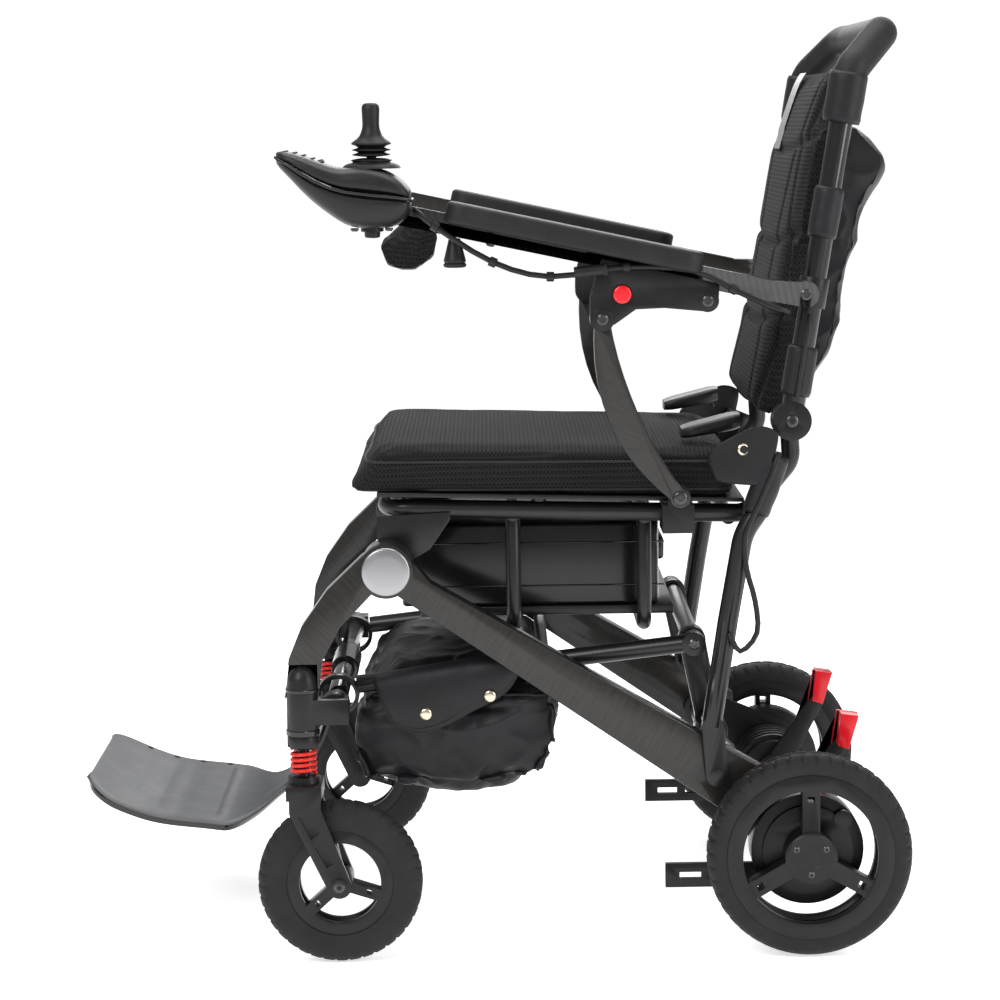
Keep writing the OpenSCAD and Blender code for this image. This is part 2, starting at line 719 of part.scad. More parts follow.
module controller_top() {
    cut = 27;
    color("#1d1d1e") difference() {
        slab(-250 - controller_w / 2, -250 + controller_w / 2) polygon([[-214, 858.6], [-215, 865], [-199, 870],
            [-157, 854], [-142, 850], [-129, 855], [-90, 845], [-76, 832], [-74, 820]]);
        slab(-250 - controller_w / 2 + 3, -250 + controller_w / 2 - 3) polygon([[-201, 848], [-196, 864],
            [-158, 849], [-132, 849], [-95, 840], [-80, 828], [-80, 814]]);
        translate([stick[0], -250, 830]) cylinder(r = 20, h = 40);
        translate([-170, -250, 830]) cylinder(r = 6 + fit, h = 60);
    }
}

module joystick_gimbal() {
    color("#444444") translate([stick[0], -250, stick[1]]) difference() {
        sphere(r = 9);
        translate([-12, -12, 2.6]) cube([24, 24, 12]);
    }
}

module joystick() {
    color("#141414") translate([stick[0], -250, 0]) rotate_extrude() polygon([[0, 841], [3, 842.2], [5, 844],
        [5, 877], [20.5, 877], [20, 881], [12, 891], [9, 903], [9.6, 914], [8, 918.4], [0, 919]]);
}

module joystick_boot() {
    color("#141414") translate([stick[0], -250, 0]) rotate_extrude() polygon([[14, 855.3], [26, 855.3], [25, 860],
        [21, 862], [23, 865], [19, 868.5], [14, 868.5]]);
}

module power_button() {
    color("#33363a") translate([-170, -250, 856]) cylinder(r = 6, h = 5.5);
}

module clamp_knob() {
    color("#141414") translate([-30, -arm_y, 748.6]) rotate_extrude() polygon([[0, 0], [9, 0], [12, 4], [8, 20],
        [6, 28], [0, 28]]);
}

module mesh_pouch() {
    color("#1a1a1a") slab(222, 262) polygon([[-130, 750], [-118, 722], [-88, 716], [-62, 730], [-52, 758],
        [-60, 783.9], [-82, 789.1]]);
}

// ---- cables that the chair holds all the way ----

arm_route = [[-72, -262, 808.7], [-50, -262, 790], [10, -262, 752], [70, -262, 736], [150, -262, 745],
    [220, -262, 740], [262, -262, 720], [300, -262, 702], [322, -262, 696]];
back_route = [[346, -229, 690], [343.5, -229, 670], [338.5, -229, 640], [334.5, -229, 616], [332, -229, 602]];
frame_route = [[312, -241, 545], [304, -241, 520], [290, -240.5, 488], [276, -240.5, 456], [277, -241, 420],
    [286, -242, 385], [288, -242, 350], [270, -241, 330], [258, -240.5, 350]];

module cable_arm() { color("#111111") cable(arm_route, 3); }
module cable_back() { color("#111111") cable(back_route, 3); }
module cable_frame() { color("#111111") cable(frame_route, 3); }

side_beams();
hub_caps();
rear_crossmember();
axle_plates();
motors();
gearboxes();
brake_lever(-1);  // brake_lever_left
brake_lever(1);  // brake_lever_right
rear_posts();
seat_frame();
seat_pan();
seat_cushion();
battery_pack();
battery_cradle();
arm_clamps();
front_arms();
castor_columns();
front_crossbar();
footplate();
link_struts();
lower_frame();
under_bag();
castor_stem(-1);  // castor_stem_left
castor_stem(1);  // castor_stem_right
castor_fork(-1);  // castor_fork_left
castor_fork(1);  // castor_fork_right
castor_spring(-1);  // castor_spring_left
castor_spring(1);  // castor_spring_right
castor_rim(-1);  // castor_rim_left
castor_rim(1);  // castor_rim_right
castor_tyre(-1);  // castor_tyre_left
castor_tyre(1);  // castor_tyre_right
rear_rim(-1);  // rear_rim_left
rear_rim(1);  // rear_rim_right
rear_tyre(-1);  // rear_tyre_left
rear_tyre(1);  // rear_tyre_right
back_frame();
push_grip();
back_pad();
back_bag();
back_knuckles();
arm_pivots();
arm_supports();
arm_beams();
arm_pads();
arm_brackets();
release_button(-1);  // release_button_left
release_button(1);  // release_button_right
controller_base();
controller_top();
joystick_gimbal();
joystick();
joystick_boot();
power_button();
clamp_knob();
mesh_pouch();
cable_arm();
cable_back();
cable_frame();
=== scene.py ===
import json
import math

import bmesh
import bpy
from mathutils import Matrix, Vector
from mathutils.noise import noise


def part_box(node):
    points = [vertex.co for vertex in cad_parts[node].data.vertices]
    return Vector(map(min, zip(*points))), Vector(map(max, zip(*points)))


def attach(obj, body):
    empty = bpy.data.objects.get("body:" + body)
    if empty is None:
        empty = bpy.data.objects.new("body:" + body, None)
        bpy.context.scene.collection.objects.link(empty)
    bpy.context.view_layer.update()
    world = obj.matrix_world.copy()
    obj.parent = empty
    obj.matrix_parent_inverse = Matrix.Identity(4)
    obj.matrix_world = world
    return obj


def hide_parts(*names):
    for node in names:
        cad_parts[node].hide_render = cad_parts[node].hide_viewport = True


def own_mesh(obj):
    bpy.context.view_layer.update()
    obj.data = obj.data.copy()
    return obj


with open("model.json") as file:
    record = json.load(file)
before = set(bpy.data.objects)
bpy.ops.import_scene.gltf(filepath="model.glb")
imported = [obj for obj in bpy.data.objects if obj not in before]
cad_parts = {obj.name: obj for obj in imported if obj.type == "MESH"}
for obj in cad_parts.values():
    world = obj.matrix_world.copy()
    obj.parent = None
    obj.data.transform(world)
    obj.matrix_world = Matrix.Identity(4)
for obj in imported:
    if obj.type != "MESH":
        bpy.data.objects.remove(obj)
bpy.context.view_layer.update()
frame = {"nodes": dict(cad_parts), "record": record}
BODY_OF = {node: body for body, nodes in frame["record"]["behaviour"]["bodies"].items() for node in nodes}

# Camera, floor and light: the chair seen square from its left side and a little from above,
# on a pale floor, under four broad soft lamps and a pale sky.
camera = bpy.data.objects.new("camera", bpy.data.cameras.new("camera"))
camera.data.lens = 102.97
camera.data.sensor_width = 36
YAW, PITCH, ROLL = math.radians(0.207), math.radians(7.619), math.radians(-0.796)
look = Vector((math.sin(YAW) * math.cos(PITCH), math.cos(YAW) * math.cos(PITCH), -math.sin(PITCH)))
side = Vector((math.cos(YAW), -math.sin(YAW), 0))
above = side.cross(look)
right = side * math.cos(ROLL) + above * math.sin(ROLL)
up = above * math.cos(ROLL) - side * math.sin(ROLL)
camera.matrix_world = Matrix((right, up, -look)).transposed().to_4x4()
camera.location = (0.0032, -3.2647, 0.9022)
bpy.context.collection.objects.link(camera)
bpy.context.scene.camera = camera

bpy.ops.mesh.primitive_plane_add(size=400, location=(0, 0, -0.0005))
floor = bpy.context.object
floor.name = "floor"
floor_paint = bpy.data.materials.new("floor_paint")
floor_paint.use_nodes = True
for socket, value in (("Base Color", (0.97, 0.97, 0.97, 1)), ("Roughness", 0.9),
                      ("Emission Color", (1, 1, 1, 1)), ("Emission Strength", 0.62)):
    floor_paint.node_tree.nodes["Principled BSDF"].inputs[socket].default_value = value
floor.data.materials.append(floor_paint)

sky = bpy.data.worlds.new("sky")
sky.use_nodes = True
glow = sky.node_tree.nodes["Background"].inputs
glow["Color"].default_value = (1, 1, 1, 1)
seen = sky.node_tree.nodes.new("ShaderNodeLightPath")
strength = sky.node_tree.nodes.new("ShaderNodeMapRange")
strength.inputs["To Min"].default_value = 0.42
strength.inputs["To Max"].default_value = 1.04
sky.node_tree.links.new(seen.outputs["Is Camera Ray"], strength.inputs["Value"])
sky.node_tree.links.new(strength.outputs[0], glow["Strength"])
bpy.context.scene.world = sky


def lamp(name, place, size, power):
    light = bpy.data.lights.new(name, "AREA")
    light.shape = "RECTANGLE"
    light.size, light.size_y = size
    light.energy = power
    holder = bpy.data.objects.new(name, light)
    holder.location = place
    holder.rotation_euler = (Vector((0, 0, 0.5)) - Vector(place)).to_track_quat("-Z", "Y").to_euler()
    bpy.context.collection.objects.link(holder)


lamp("key_lamp", (-1.6, -2.2, 2.6), (1.6, 1.6), 60)
lamp("side_lamp", (2.4, -1.6, 1.5), (0.8, 2.2), 36)
lamp("top_lamp", (0.2, 0.3, 2.8), (2.4, 1.4), 45)
lamp("back_lamp", (0.6, 2.6, 1.8), (2.0, 1.2), 30)
bpy.context.scene.view_settings.view_transform = "Standard"


# Wheels: cast black rims with three stepped spokes and moulded rubber tyres with rows of blocks.
# The rear pair is driven, the front pair runs in the castor forks.
class Paint:
    """A finish built from nodes: colour, roughness and fine relief that vary over the piece."""

    def __init__(self, name, colour, rough, metal=0.0):
        self.material = bpy.data.materials.new(name)
        self.material.use_nodes = True
        self.tree = self.material.node_tree
        self.shader = self.tree.nodes["Principled BSDF"]
        self.put("Base Color", (*colour, 1))
        self.put("Roughness", rough)
        self.put("Metallic", metal)
        self.place = self.node("ShaderNodeTexCoord").outputs["Object"]
        self.height = None

    def node(self, kind, **values):
        made = self.tree.nodes.new(kind)
        for key, value in values.items():
            if key in made.inputs:
                made.inputs[key].default_value = value
            else:
                setattr(made, key, value)
        return made

    def put(self, socket, value):
        self.shader.inputs[socket].default_value = value
        return self

    def link(self, a, b):
        self.tree.links.new(a, b)

    def maths(self, operation, a, b=0.0):
        made = self.node("ShaderNodeMath", operation=operation)
        for socket, value in zip(made.inputs, (a, b)):
            if isinstance(value, (int, float)):
                socket.default_value = value
            else:
                self.link(value, socket)
        return made.outputs[0]

    def scaled(self, scale, turn=(0, 0, 0)):
        mapping = self.node("ShaderNodeMapping")
        mapping.inputs["Scale"].default_value = scale
        mapping.inputs["Rotation"].default_value = turn
        self.link(self.place, mapping.inputs["Vector"])
        return mapping.outputs[0]

    def cloud(self, scale, detail=3.0, at=None):
        noise_node = self.node("ShaderNodeTexNoise", Scale=scale, Detail=detail)
        self.link(at or self.place, noise_node.inputs["Vector"])
        return noise_node.outputs[0]

    def ramp(self, value, stops):
        made = self.node("ShaderNodeValToRGB")
        for element, (spot, colour) in zip(made.color_ramp.elements, stops):
            element.position = spot
            element.color = (*colour, 1)
        self.link(value, made.inputs[0])
        return made.outputs[0]

    def colour_from(self, value, stops):
        self.link(self.ramp(value, stops), self.shader.inputs["Base Color"])
        return self

    def rough_from(self, value, low, high):
        spread = self.node("ShaderNodeMapRange")
        spread.inputs["To Min"].default_value = low
        spread.inputs["To Max"].default_value = high
        self.link(value, spread.inputs["Value"])
        self.link(spread.outputs[0], self.shader.inputs["Roughness"])
        return self

    def relief(self, value, depth, strength=1.0):
        bump = self.node("ShaderNodeBump", Strength=strength, Distance=depth)
        self.link(value, bump.inputs["Height"])
        if self.height:
            self.link(self.height, bump.inputs["Normal"])
        self.height = bump.outputs[0]
        self.link(self.height, self.shader.inputs["Normal"])
        return self


def moulded(name, colour, rough, grain=1400, depth=0.00012, spread=0.08):
    """Moulded plastic or cast metal: a fine grain, with patches that are a little smoother."""
    made = Paint(name, colour, rough)
    made.put("Specular IOR Level", 0.3)
    lighter = tuple(min(1, c * 1.35 + 0.002) for c in colour)
    made.colour_from(made.cloud(45), [(0.3, colour), (0.75, lighter)])
    made.rough_from(made.cloud(18), rough - spread, rough + spread)
    return made.relief(made.cloud(grain, 2.0), depth, 0.5)


casting = moulded("black_casting", (0.0055, 0.0055, 0.006), 0.36)
rubber = moulded("tyre_rubber", (0.009, 0.009, 0.009), 0.68, 700, 0.0003)


def new_piece(name, vertices, faces, body, paint, smooth=True, stands_for=()):
    """A mesh piece with its finish, that rides on a CAD body."""
    mesh = bpy.data.meshes.new(name)
    mesh.from_pydata([tuple(v) for v in vertices], [], [tuple(f) for f in faces])
    mesh.update()
    piece = bpy.data.objects.new(name, mesh)
    bpy.context.collection.objects.link(piece)
    mesh.materials.append(paint.material)
    if smooth:
        mesh.polygons.foreach_set("use_smooth", [True] * len(mesh.polygons))
    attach(piece, body)
    if stands_for:
        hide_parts(*stands_for)
    return piece


def tidy(piece):
    """Merges doubled points and turns every face outward."""
    work = bmesh.new()
    work.from_mesh(piece.data)
    bmesh.ops.remove_doubles(work, verts=work.verts, dist=0.00002)
    bmesh.ops.recalc_face_normals(work, faces=work.faces)
    work.to_mesh(piece.data)
    work.free()
    return piece


def grid_faces(rows, columns, closed_rows=False, closed_columns=True):
    """Faces between neighbouring rows of points, each row holding the same number of points."""
    out = []
    for i in range(rows if closed_rows else rows - 1):
        for k in range(columns if closed_columns else columns - 1):
            a, b = i * columns, ((i + 1) % rows) * columns
            q = (k + 1) % columns
            out.append((a + k, b + k, b + q, a + q))
    return out


def softened(node, paint, width=0.0012, flat_limit=32):
    """The CAD node's own shape with its sharp edges rounded off, as a cast or machined piece has."""
    piece = bpy.data.objects.new("dressed_" + node, frame["nodes"][node].data.copy())
    bpy.context.collection.objects.link(piece)
    piece.data.materials.clear()
    piece.data.materials.append(paint.material)
    work = bmesh.new()
    work.from_mesh(piece.data)
    bmesh.ops.remove_doubles(work, verts=work.verts, dist=0.00001)
    bmesh.ops.dissolve_limit(work, angle_limit=math.radians(1.0), verts=work.verts, edges=work.edges)
    work.to_mesh(piece.data)
    work.free()
    if width:
        bevel = piece.modifiers.new("rounded_edges", "BEVEL")
        bevel.width = width
        bevel.segments = 2
        bevel.limit_method = "ANGLE"
        bevel.angle_limit = math.radians(flat_limit)
        bevel.harden_normals = False
        apply_modifiers(piece)
    piece.data.polygons.foreach_set("use_smooth", [True] * len(piece.data.polygons))
    piece.data.set_sharp_from_angle(angle=math.radians(flat_limit))
    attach(piece, BODY_OF[node])
    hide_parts(node)
    return piece


def apply_modifiers(piece):
    depsgraph = bpy.context.evaluated_depsgraph_get()
    shaped = bpy.data.meshes.new_from_object(piece.evaluated_get(depsgraph))
    piece.modifiers.clear()
    piece.data = shaped


def middle(node):
    low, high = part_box(node)
    return (low + high) / 2


STEPS_A_BLOCK = 6
SECTION_STEPS = 25


def treaded_tyre(node, blocks, tread, shoulder):
    """A tyre turned from its section, with a row of blocks on each side of the crown."""
    low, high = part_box(node)
    centre = (low + high) / 2
    radius = (high.z - low.z) / 2
    half = (high.y - low.y) / 2
    rim_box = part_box(node.replace("tyre", "rim"))
    inner = (rim_box[1].z - rim_box[0].z) / 2 - 0.0004
    around = blocks * STEPS_A_BLOCK
    section = []
    for k in range(SECTION_STEPS + 1):
        a = math.pi * k / SECTION_STEPS
        wide = -math.cos(a)
        tall = math.sin(a) ** 0.62
        section.append((inner + (radius - tread - inner) * tall, half * (0.80 + 0.2 * tall) * wide))
    rows = []
    for i in range(around):
        a = 2 * math.pi * i / around
        for k, (r, y) in enumerate(section):
            reach = abs(y) / half
            lag = 0 if y > 0 else STEPS_A_BLOCK // 2
            in_block = (i + lag + int(reach * 2.2)) % STEPS_A_BLOCK != 0
            on_tread = r > radius - tread - 0.012 and in_block
            lift = 0.0
            if on_tread and 0.07 <= reach < shoulder:
                lift = tread
            elif on_tread and shoulder <= reach < shoulder + 0.1:
                lift = tread * 0.5
            rows.append(centre + Vector(((r + lift) * math.sin(a), y, (r + lift) * math.cos(a))))
    piece = new_piece("moulded_" + node, rows, grid_faces(around, len(section), True, True),
                      BODY_OF[node], rubber, True, (node,))
    piece.data.set_sharp_from_angle(angle=math.radians(38))
    return tidy(piece)


for hand in ("left", "right"):
    treaded_tyre("rear_tyre_" + hand, 44, 0.0020, 0.86)
    treaded_tyre("castor_tyre_" + hand, 38, 0.0017, 0.84)
    softened("rear_rim_" + hand, casting, 0.0016)
    softened("castor_rim_" + hand, casting, 0.0012)


def turned(name, centre, axis, profile, body, paint, around=40, stands_for=()):
    """A turned piece: profile is a list of (distance along the axis, radius)."""
    axis = Vector(axis).normalized()
    across = axis.orthogonal().normalized()
    third = axis.cross(across)
    points = []
    for along, radius in profile:
        for k in range(around):
            a = 2 * math.pi * k / around
            spoke = across * math.cos(a) + third * math.sin(a)
            points.append(Vector(centre) + axis * along + spoke * max(radius, 0.00001))
    faces = grid_faces(len(profile), around)
    faces.append(tuple(range(around - 1, -1, -1)))
    faces.append(tuple(range((len(profile) - 1) * around, len(profile) * around)))
    piece = new_piece(name, points, faces, body, paint, True, stands_for)
    tidy(piece)
    piece.data.set_sharp_from_angle(angle=math.radians(35))
    return piece


def bolt(name, centre, axis, radius, height, body, paint, socket=0.45):
    """A button-head screw with a hexagon socket."""
    profile = [(0, radius), (height * 0.55, radius), (height, radius * 0.72), (height, radius * socket),
               (height * 0.4, radius * socket), (height * 0.4, 0)]
    return turned(name, centre, axis, profile, body, paint, 24)


HUB_SCREW_RING = 0.0185
screw_black = moulded("screw_black", (0.06, 0.06, 0.062), 0.24, 900, 0.00003)
screw_black.put("Metallic", 0.85)
for hand, sign in (("left", -1), ("right", 1)):
    rim = middle("rear_rim_" + hand)
    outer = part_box("rear_rim_" + hand)[0].y if sign < 0 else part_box("rear_rim_" + hand)[1].y
    for k in range(3):
        a = math.radians(120 * k + 30)
        spot = Vector((rim.x + HUB_SCREW_RING * math.cos(a), outer + sign * 0.0002,
                       rim.z + HUB_SCREW_RING * math.sin(a)))
        bolt(f"hub_screw_{hand}_{k}", spot, (0, sign, 0), 0.0035, 0.0016, "drive_wheel_" + hand, screw_black)
    turned("hub_cover_" + hand, (rim.x, outer - sign * 0.0010, rim.z), (0, sign, 0),
           [(0, 0.0265), (0.0010, 0.0265), (0.0018, 0.0255), (0.0019, 0.0120), (0.0015, 0.0115), (0.0015, 0)],
           "drive_wheel_" + hand, casting, 56)
    hub_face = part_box("castor_fork_" + hand)[0].y if sign < 0 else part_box("castor_fork_" + hand)[1].y
    axle = middle("castor_rim_" + hand)
    bolt("axle_screw_" + hand, (axle.x, hub_face - sign * 0.001, axle.z), (0, sign, 0), 0.0062, 0.0018,
         "fork_" + hand, screw_black)

# Side beams, front arms, arm beams and curved arms: hollow carbon fibre under a clear coat.
# The flat sides show one-way fibre, the narrow edges a twill, and the corners are rounded.
def carbon(name, slope):
    """Carbon fibre whose tows run along a piece that slopes by this angle."""
    made = Paint(name, (0.03, 0.027, 0.024), 0.32)
    made.put("Coat Weight", 0.3).put("Coat Roughness", 0.08).put("Specular IOR Level", 0.28)
    turn = made.node("ShaderNodeVectorRotate", rotation_type="Y_AXIS")
    turn.inputs["Angle"].default_value = slope
    made.link(made.place, turn.inputs["Vector"])
    along = turn.outputs[0]
    fibre = made.node("ShaderNodeMapping")
    fibre.inputs["Scale"].default_value = (900, 60, 40)
    made.link(along, fibre.inputs["Vector"])
    streak = made.cloud(1.0, 4.0, fibre.outputs[0])
    one_way = made.ramp(streak, [(0.3, (0.008, 0.0072, 0.0065)), (0.72, (0.025, 0.0225, 0.0205))])
    split = made.node("ShaderNodeSeparateXYZ")
    made.link(along, split.inputs[0])
    tow = 0.0017
    weave_repeat = 4
    u = made.maths("FLOOR", made.maths("DIVIDE", split.outputs[0], tow))
    v = made.maths("FLOOR", made.maths("DIVIDE", split.outputs[1], tow))
    diagonal = made.maths("ADD", made.maths("ADD", u, v), 1000 * weave_repeat)
    over = made.maths("LESS_THAN", made.maths("MODULO", diagonal, weave_repeat), 1.5)
    twill = made.ramp(over, [(0.0, (0.002, 0.002, 0.002)), (1.0, (0.017, 0.0165, 0.015))])
    facing = made.node("ShaderNodeSeparateXYZ")
    made.link(made.node("ShaderNodeTexCoord").outputs["Normal"], facing.inputs[0])
    flat = made.maths("GREATER_THAN", made.maths("ABSOLUTE", facing.outputs[1]), 0.72)
    mix = made.node("ShaderNodeMix", data_type="RGBA")
    made.link(flat, mix.inputs[0])
    made.link(twill, mix.inputs[6])
    made.link(one_way, mix.inputs[7])
    made.link(mix.outputs[2], made.shader.inputs["Base Color"])
    made.relief(made.maths("MULTIPLY", over, made.maths("SUBTRACT", 1, flat)), 0.0002, 0.35)
    return made


softened("side_beams", carbon("beam_carbon", math.radians(-30)), 0.0035)
softened("front_arms", carbon("front_arm_carbon", math.radians(42)), 0.0040)
softened("arm_beams", carbon("arm_beam_carbon", math.radians(12.3)), 0.0025)
softened("arm_supports", carbon("curved_arm_carbon", math.radians(66)), 0.0022)

# Tubes and castings of the frame: aluminium, satin black powder coat, bent or welded.
# Every one keeps its CAD shape, with the edges broken and a slightly uneven coat.
powder = moulded("black_powder_coat", (0.0055, 0.0055, 0.006), 0.33, 1100, 0.00009, 0.06)
powder.put("Specular IOR Level", 0.34).put("Coat Weight", 0.1).put("Coat Roughness", 0.22)
gloss_tube = moulded("gloss_black_tube", (0.004, 0.004, 0.0045), 0.16, 800, 0.00002, 0.04)
gloss_tube.put("Specular IOR Level", 0.4).put("Coat Weight", 0.25).put("Coat Roughness", 0.05)
for node in ("rear_crossmember", "rear_posts", "seat_frame", "battery_cradle", "link_struts", "lower_frame"):
    softened(node, powder, 0.0008, 40)
softened("back_frame", gloss_tube, 0)
softened("front_crossbar", gloss_tube, 0.0008)
for node in ("axle_plates", "motors", "gearboxes", "castor_columns", "back_knuckles", "arm_pivots",
             "arm_clamps", "arm_brackets"):
    softened(node, casting, 0.0012, 40)
for hand in ("left", "right"):
    softened("castor_stem_" + hand, casting, 0.0010)
    softened("castor_fork_" + hand, casting, 0.0016)

# Hub caps: turned aluminium discs with a satin face, pressed over the front section's hinge.
# The face is plain, with only the fine rings of its turning.
satin = Paint("satin_aluminium", (0.34, 0.34, 0.35), 0.36, 1.0)
satin.rough_from(satin.cloud(60), 0.28, 0.42)
satin.relief(satin.cloud(900, 2.0), 0.00006, 0.4)
for hand, sign in (("left", -1), ("right", 1)):
    low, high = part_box("hub_caps")
    face = low.y if sign < 0 else high.y
    centre = Vector(((low.x + high.x) / 2, face - sign * 0.005, (low.z + high.z) / 2))
    profile = [(0, 0.026), (0.0018, 0.026), (0.0030, 0.0252), (0.0036, 0.0240), (0.0043, 0.016),
               (0.0048, 0.008), (0.005, 0)]
    turned("hub_disc_" + hand, centre, (0, sign, 0), profile, "front_section", satin, 72,
           ("hub_caps",) if sign < 0 else ())

# Springs, levers and buttons: red coated steel coils and red moulded plastic.
# A lever is red at its paddle only, and two black collars close each castor column.
red_plastic = moulded("red_plastic", (0.62, 0.004, 0.012), 0.3, 900, 0.00005, 0.05)
red_plastic.put("Coat Weight", 0.3).put("Coat Roughness", 0.1)
red_steel = moulded("red_spring_coat", (0.55, 0.018, 0.012), 0.28, 900, 0.00004, 0.05)


def swept(name, path, radius, body, paint, sides=14, closed=False, stands_for=(), flat=1.0):
    """A round or flattened bar along a path, its frame carried smoothly from point to point."""
    path = [Vector(p) for p in path]
    count = len(path)
    normal = None
    points = []
    for i, p in enumerate(path):
        ahead = path[(i + 1) % count] if closed else path[min(i + 1, count - 1)]
        behind = path[i - 1] if closed else path[max(i - 1, 0)]
        t = (ahead - behind).normalized()
        if normal is None:
            normal = t.cross(Vector((0.3, 0.9, 0.2))).normalized()
        normal = (normal - t * normal.dot(t)).normalized()
        third = t.cross(normal)
        for k in range(sides):
            a = 2 * math.pi * k / sides
            points.append(p + normal * math.cos(a) * radius + third * math.sin(a) * radius * flat)
    faces = grid_faces(count, sides, closed)
    if not closed:
        faces.append(tuple(range(sides - 1, -1, -1)))
        faces.append(tuple(range((count - 1) * sides, count * sides)))
    return tidy(new_piece(name, points, faces, body, paint, True, stands_for))


def smooth_path(corners, steps=8):
    """A Catmull-Rom curve through the corner points."""
    pts = [Vector(c) for c in corners]
    out = []
    for i in range(len(pts) - 1):
        a, b, c, d = pts[max(i - 1, 0)], pts[i], pts[i + 1], pts[min(i + 2, len(pts) - 1)]
        for s in range(steps):
            t = s / steps
            out.append(((2 * b) + (c - a) * t + (2 * a - 5 * b + 4 * c - d) * t * t
                        + (3 * b - a - 3 * c + d) * t ** 3) / 2)
    return out + [pts[-1]]


COIL_STEPS = 108
PADDLE = 0.052
for hand in ("left", "right"):
    node = "castor_spring_" + hand
    low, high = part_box(node)
    centre = (low + high) / 2
    for name, z, width in (("foot", 0.2495, 0.0065), ("head", 0.2960, 0.0045)):
        profile = [(0, 0.0172), (0.0008, 0.0181), (width - 0.0008, 0.0181), (width, 0.0172)]
        turned(f"column_collar_{name}_{hand}", (centre.x, centre.y, z), (0, 0, 1), profile, "front_section",
               gloss_tube, 48)
    wire = 0.0021
    coil = (high.x - low.x) / 2 - wire - 0.0001
    path = []
    for i in range(COIL_STEPS + 1):
        a = math.radians(i * 15)
        path.append((centre.x + coil * math.cos(a), centre.y + coil * math.sin(a),
                     low.z + wire + (high.z - low.z - 2 * wire) * i / COIL_STEPS))
    spring = swept("coil_" + hand, path, wire, "fork_" + hand, red_steel, 12, False, (node,))
    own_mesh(spring)
    lever = softened("brake_lever_" + hand, red_plastic, 0.0018)
    lever.data.materials.append(casting.material)
    lever_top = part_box("brake_lever_" + hand)[1].z
    for face in lever.data.polygons:
        if face.center.z < lever_top - PADDLE:
            face.material_index = 1
    button_low, button_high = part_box("release_button_" + hand)
    sign = -1 if hand == "left" else 1
    face = button_low.y if sign < 0 else button_high.y
    radius = (button_high.x - button_low.x) / 2
    spot = (button_low + button_high) / 2
    turned("button_" + hand, (spot.x, face - sign * 0.010, spot.z), (0, sign, 0),
           [(0, radius), (0.0085, radius), (0.0096, radius - 0.0012), (0.0099, radius - 0.003), (0.0095, 0)],
           "button_" + hand, red_plastic, 48, ("release_button_" + hand,))

# Footplate: a bent composite plate with a grey grip coat on top and gloss black edges.
# Four shallow ribs run across it, and four small drain holes sit by its right-hand edge, each a gloss black
# rim in the plate's black edge colour round a dark disc of painted shade in place of the open hole.
RIBS_AT = (-0.398, -0.366, -0.334, -0.304)
CORNER = 0.045
ACROSS = 33
grip_coat = Paint("footplate_coat", (0.16, 0.165, 0.17), 0.5)
grip_coat.colour_from(grip_coat.cloud(700, 3.0),
                      [(0.35, (0.038, 0.040, 0.044)), (0.7, (0.070, 0.073, 0.078))])
grip_coat.rough_from(grip_coat.cloud(30), 0.36, 0.55)
grip_coat.relief(grip_coat.cloud(1200, 2.0), 0.00015, 0.5)
bend_line = smooth_path([(x / 1000, 0, z / 1000) for x, z in
                         ((-453.5, 172), (-420, 151), (-374, 134), (-317, 126), (-290, 123), (-265, 126),
                          (-245, 136), (-225, 152), (-205, 178), (-190, 210), (-180, 250), (-178, 264))], 8)
travelled = 0.0
rows = []
for i, p in enumerate(bend_line):
    if i:
        travelled += (p - bend_line[i - 1]).length
    corner = max(0.0, CORNER - travelled)
    half = 0.105 + math.sqrt(max(0.0, CORNER ** 2 - corner ** 2))
    if p.x > -0.300:
        t = min(1.0, (p.x + 0.300) / 0.072)
        half = 0.150 + (0.043 - 0.150) * t * t * (3 - 2 * t)
    ridge = max(math.exp(-((p.x - x) / 0.0022) ** 2) for x in RIBS_AT)
    for k in range(ACROSS):
        share = k / (ACROSS // 2) - 1
        rib = 0.0016 * ridge * (1 if abs(share) < 0.78 else 0)
        turned_down = 0.0025 * max(0.0, (abs(share) - 0.9) / 0.1) ** 2
        rows.append((p.x, half * share, p.z + (rib - turned_down)))
plate = new_piece("pressed_footplate", rows, grid_faces(len(bend_line), ACROSS, False, False), "footrest",
                  grip_coat, True, ("footplate",))
if plate.data.polygons[len(plate.data.polygons) // 3].normal.z < 0:
    plate.data.flip_normals()
plate.data.materials.append(gloss_tube.material)
wall = plate.modifiers.new("thickness", "SOLIDIFY")
wall.thickness = 0.007
wall.offset = 0
wall.material_offset = wall.material_offset_rim = 1
finer = plate.modifiers.new("broken_edges", "BEVEL")
finer.width = 0.0015
finer.segments = 2
finer.limit_method = "ANGLE"
finer.angle_limit = math.radians(50)
apply_modifiers(plate)
plate.data.set_sharp_from_angle(angle=math.radians(45))
turned("footplate_hinge", (-0.1655, -0.042, 0.278), (0, 1, 0),
       [(0, 0.0145), (0.0015, 0.016), (0.0825, 0.016), (0.084, 0.0145)], "footrest", gloss_tube, 40)
bpy.context.view_layer.update()
# The drain holes are not cut: each is a raised gloss black rim round a flat dark disc, which is painted shade
# standing for the open hole.
for k in range(4):
    hit, spot, normal, _ = plate.ray_cast(Vector((-0.412 + 0.032 * k, 0.134, 0.4)), Vector((0, 0, -1)))
    if hit:
        turned(f"drain_hole_shade_{k}", spot - normal * 0.0004, normal,
               [(0, 0.0038), (0.0010, 0.0038), (0.0010, 0.0026), (0.0005, 0.0024), (0.0005, 0)], "footrest",
               gloss_tube, 20)


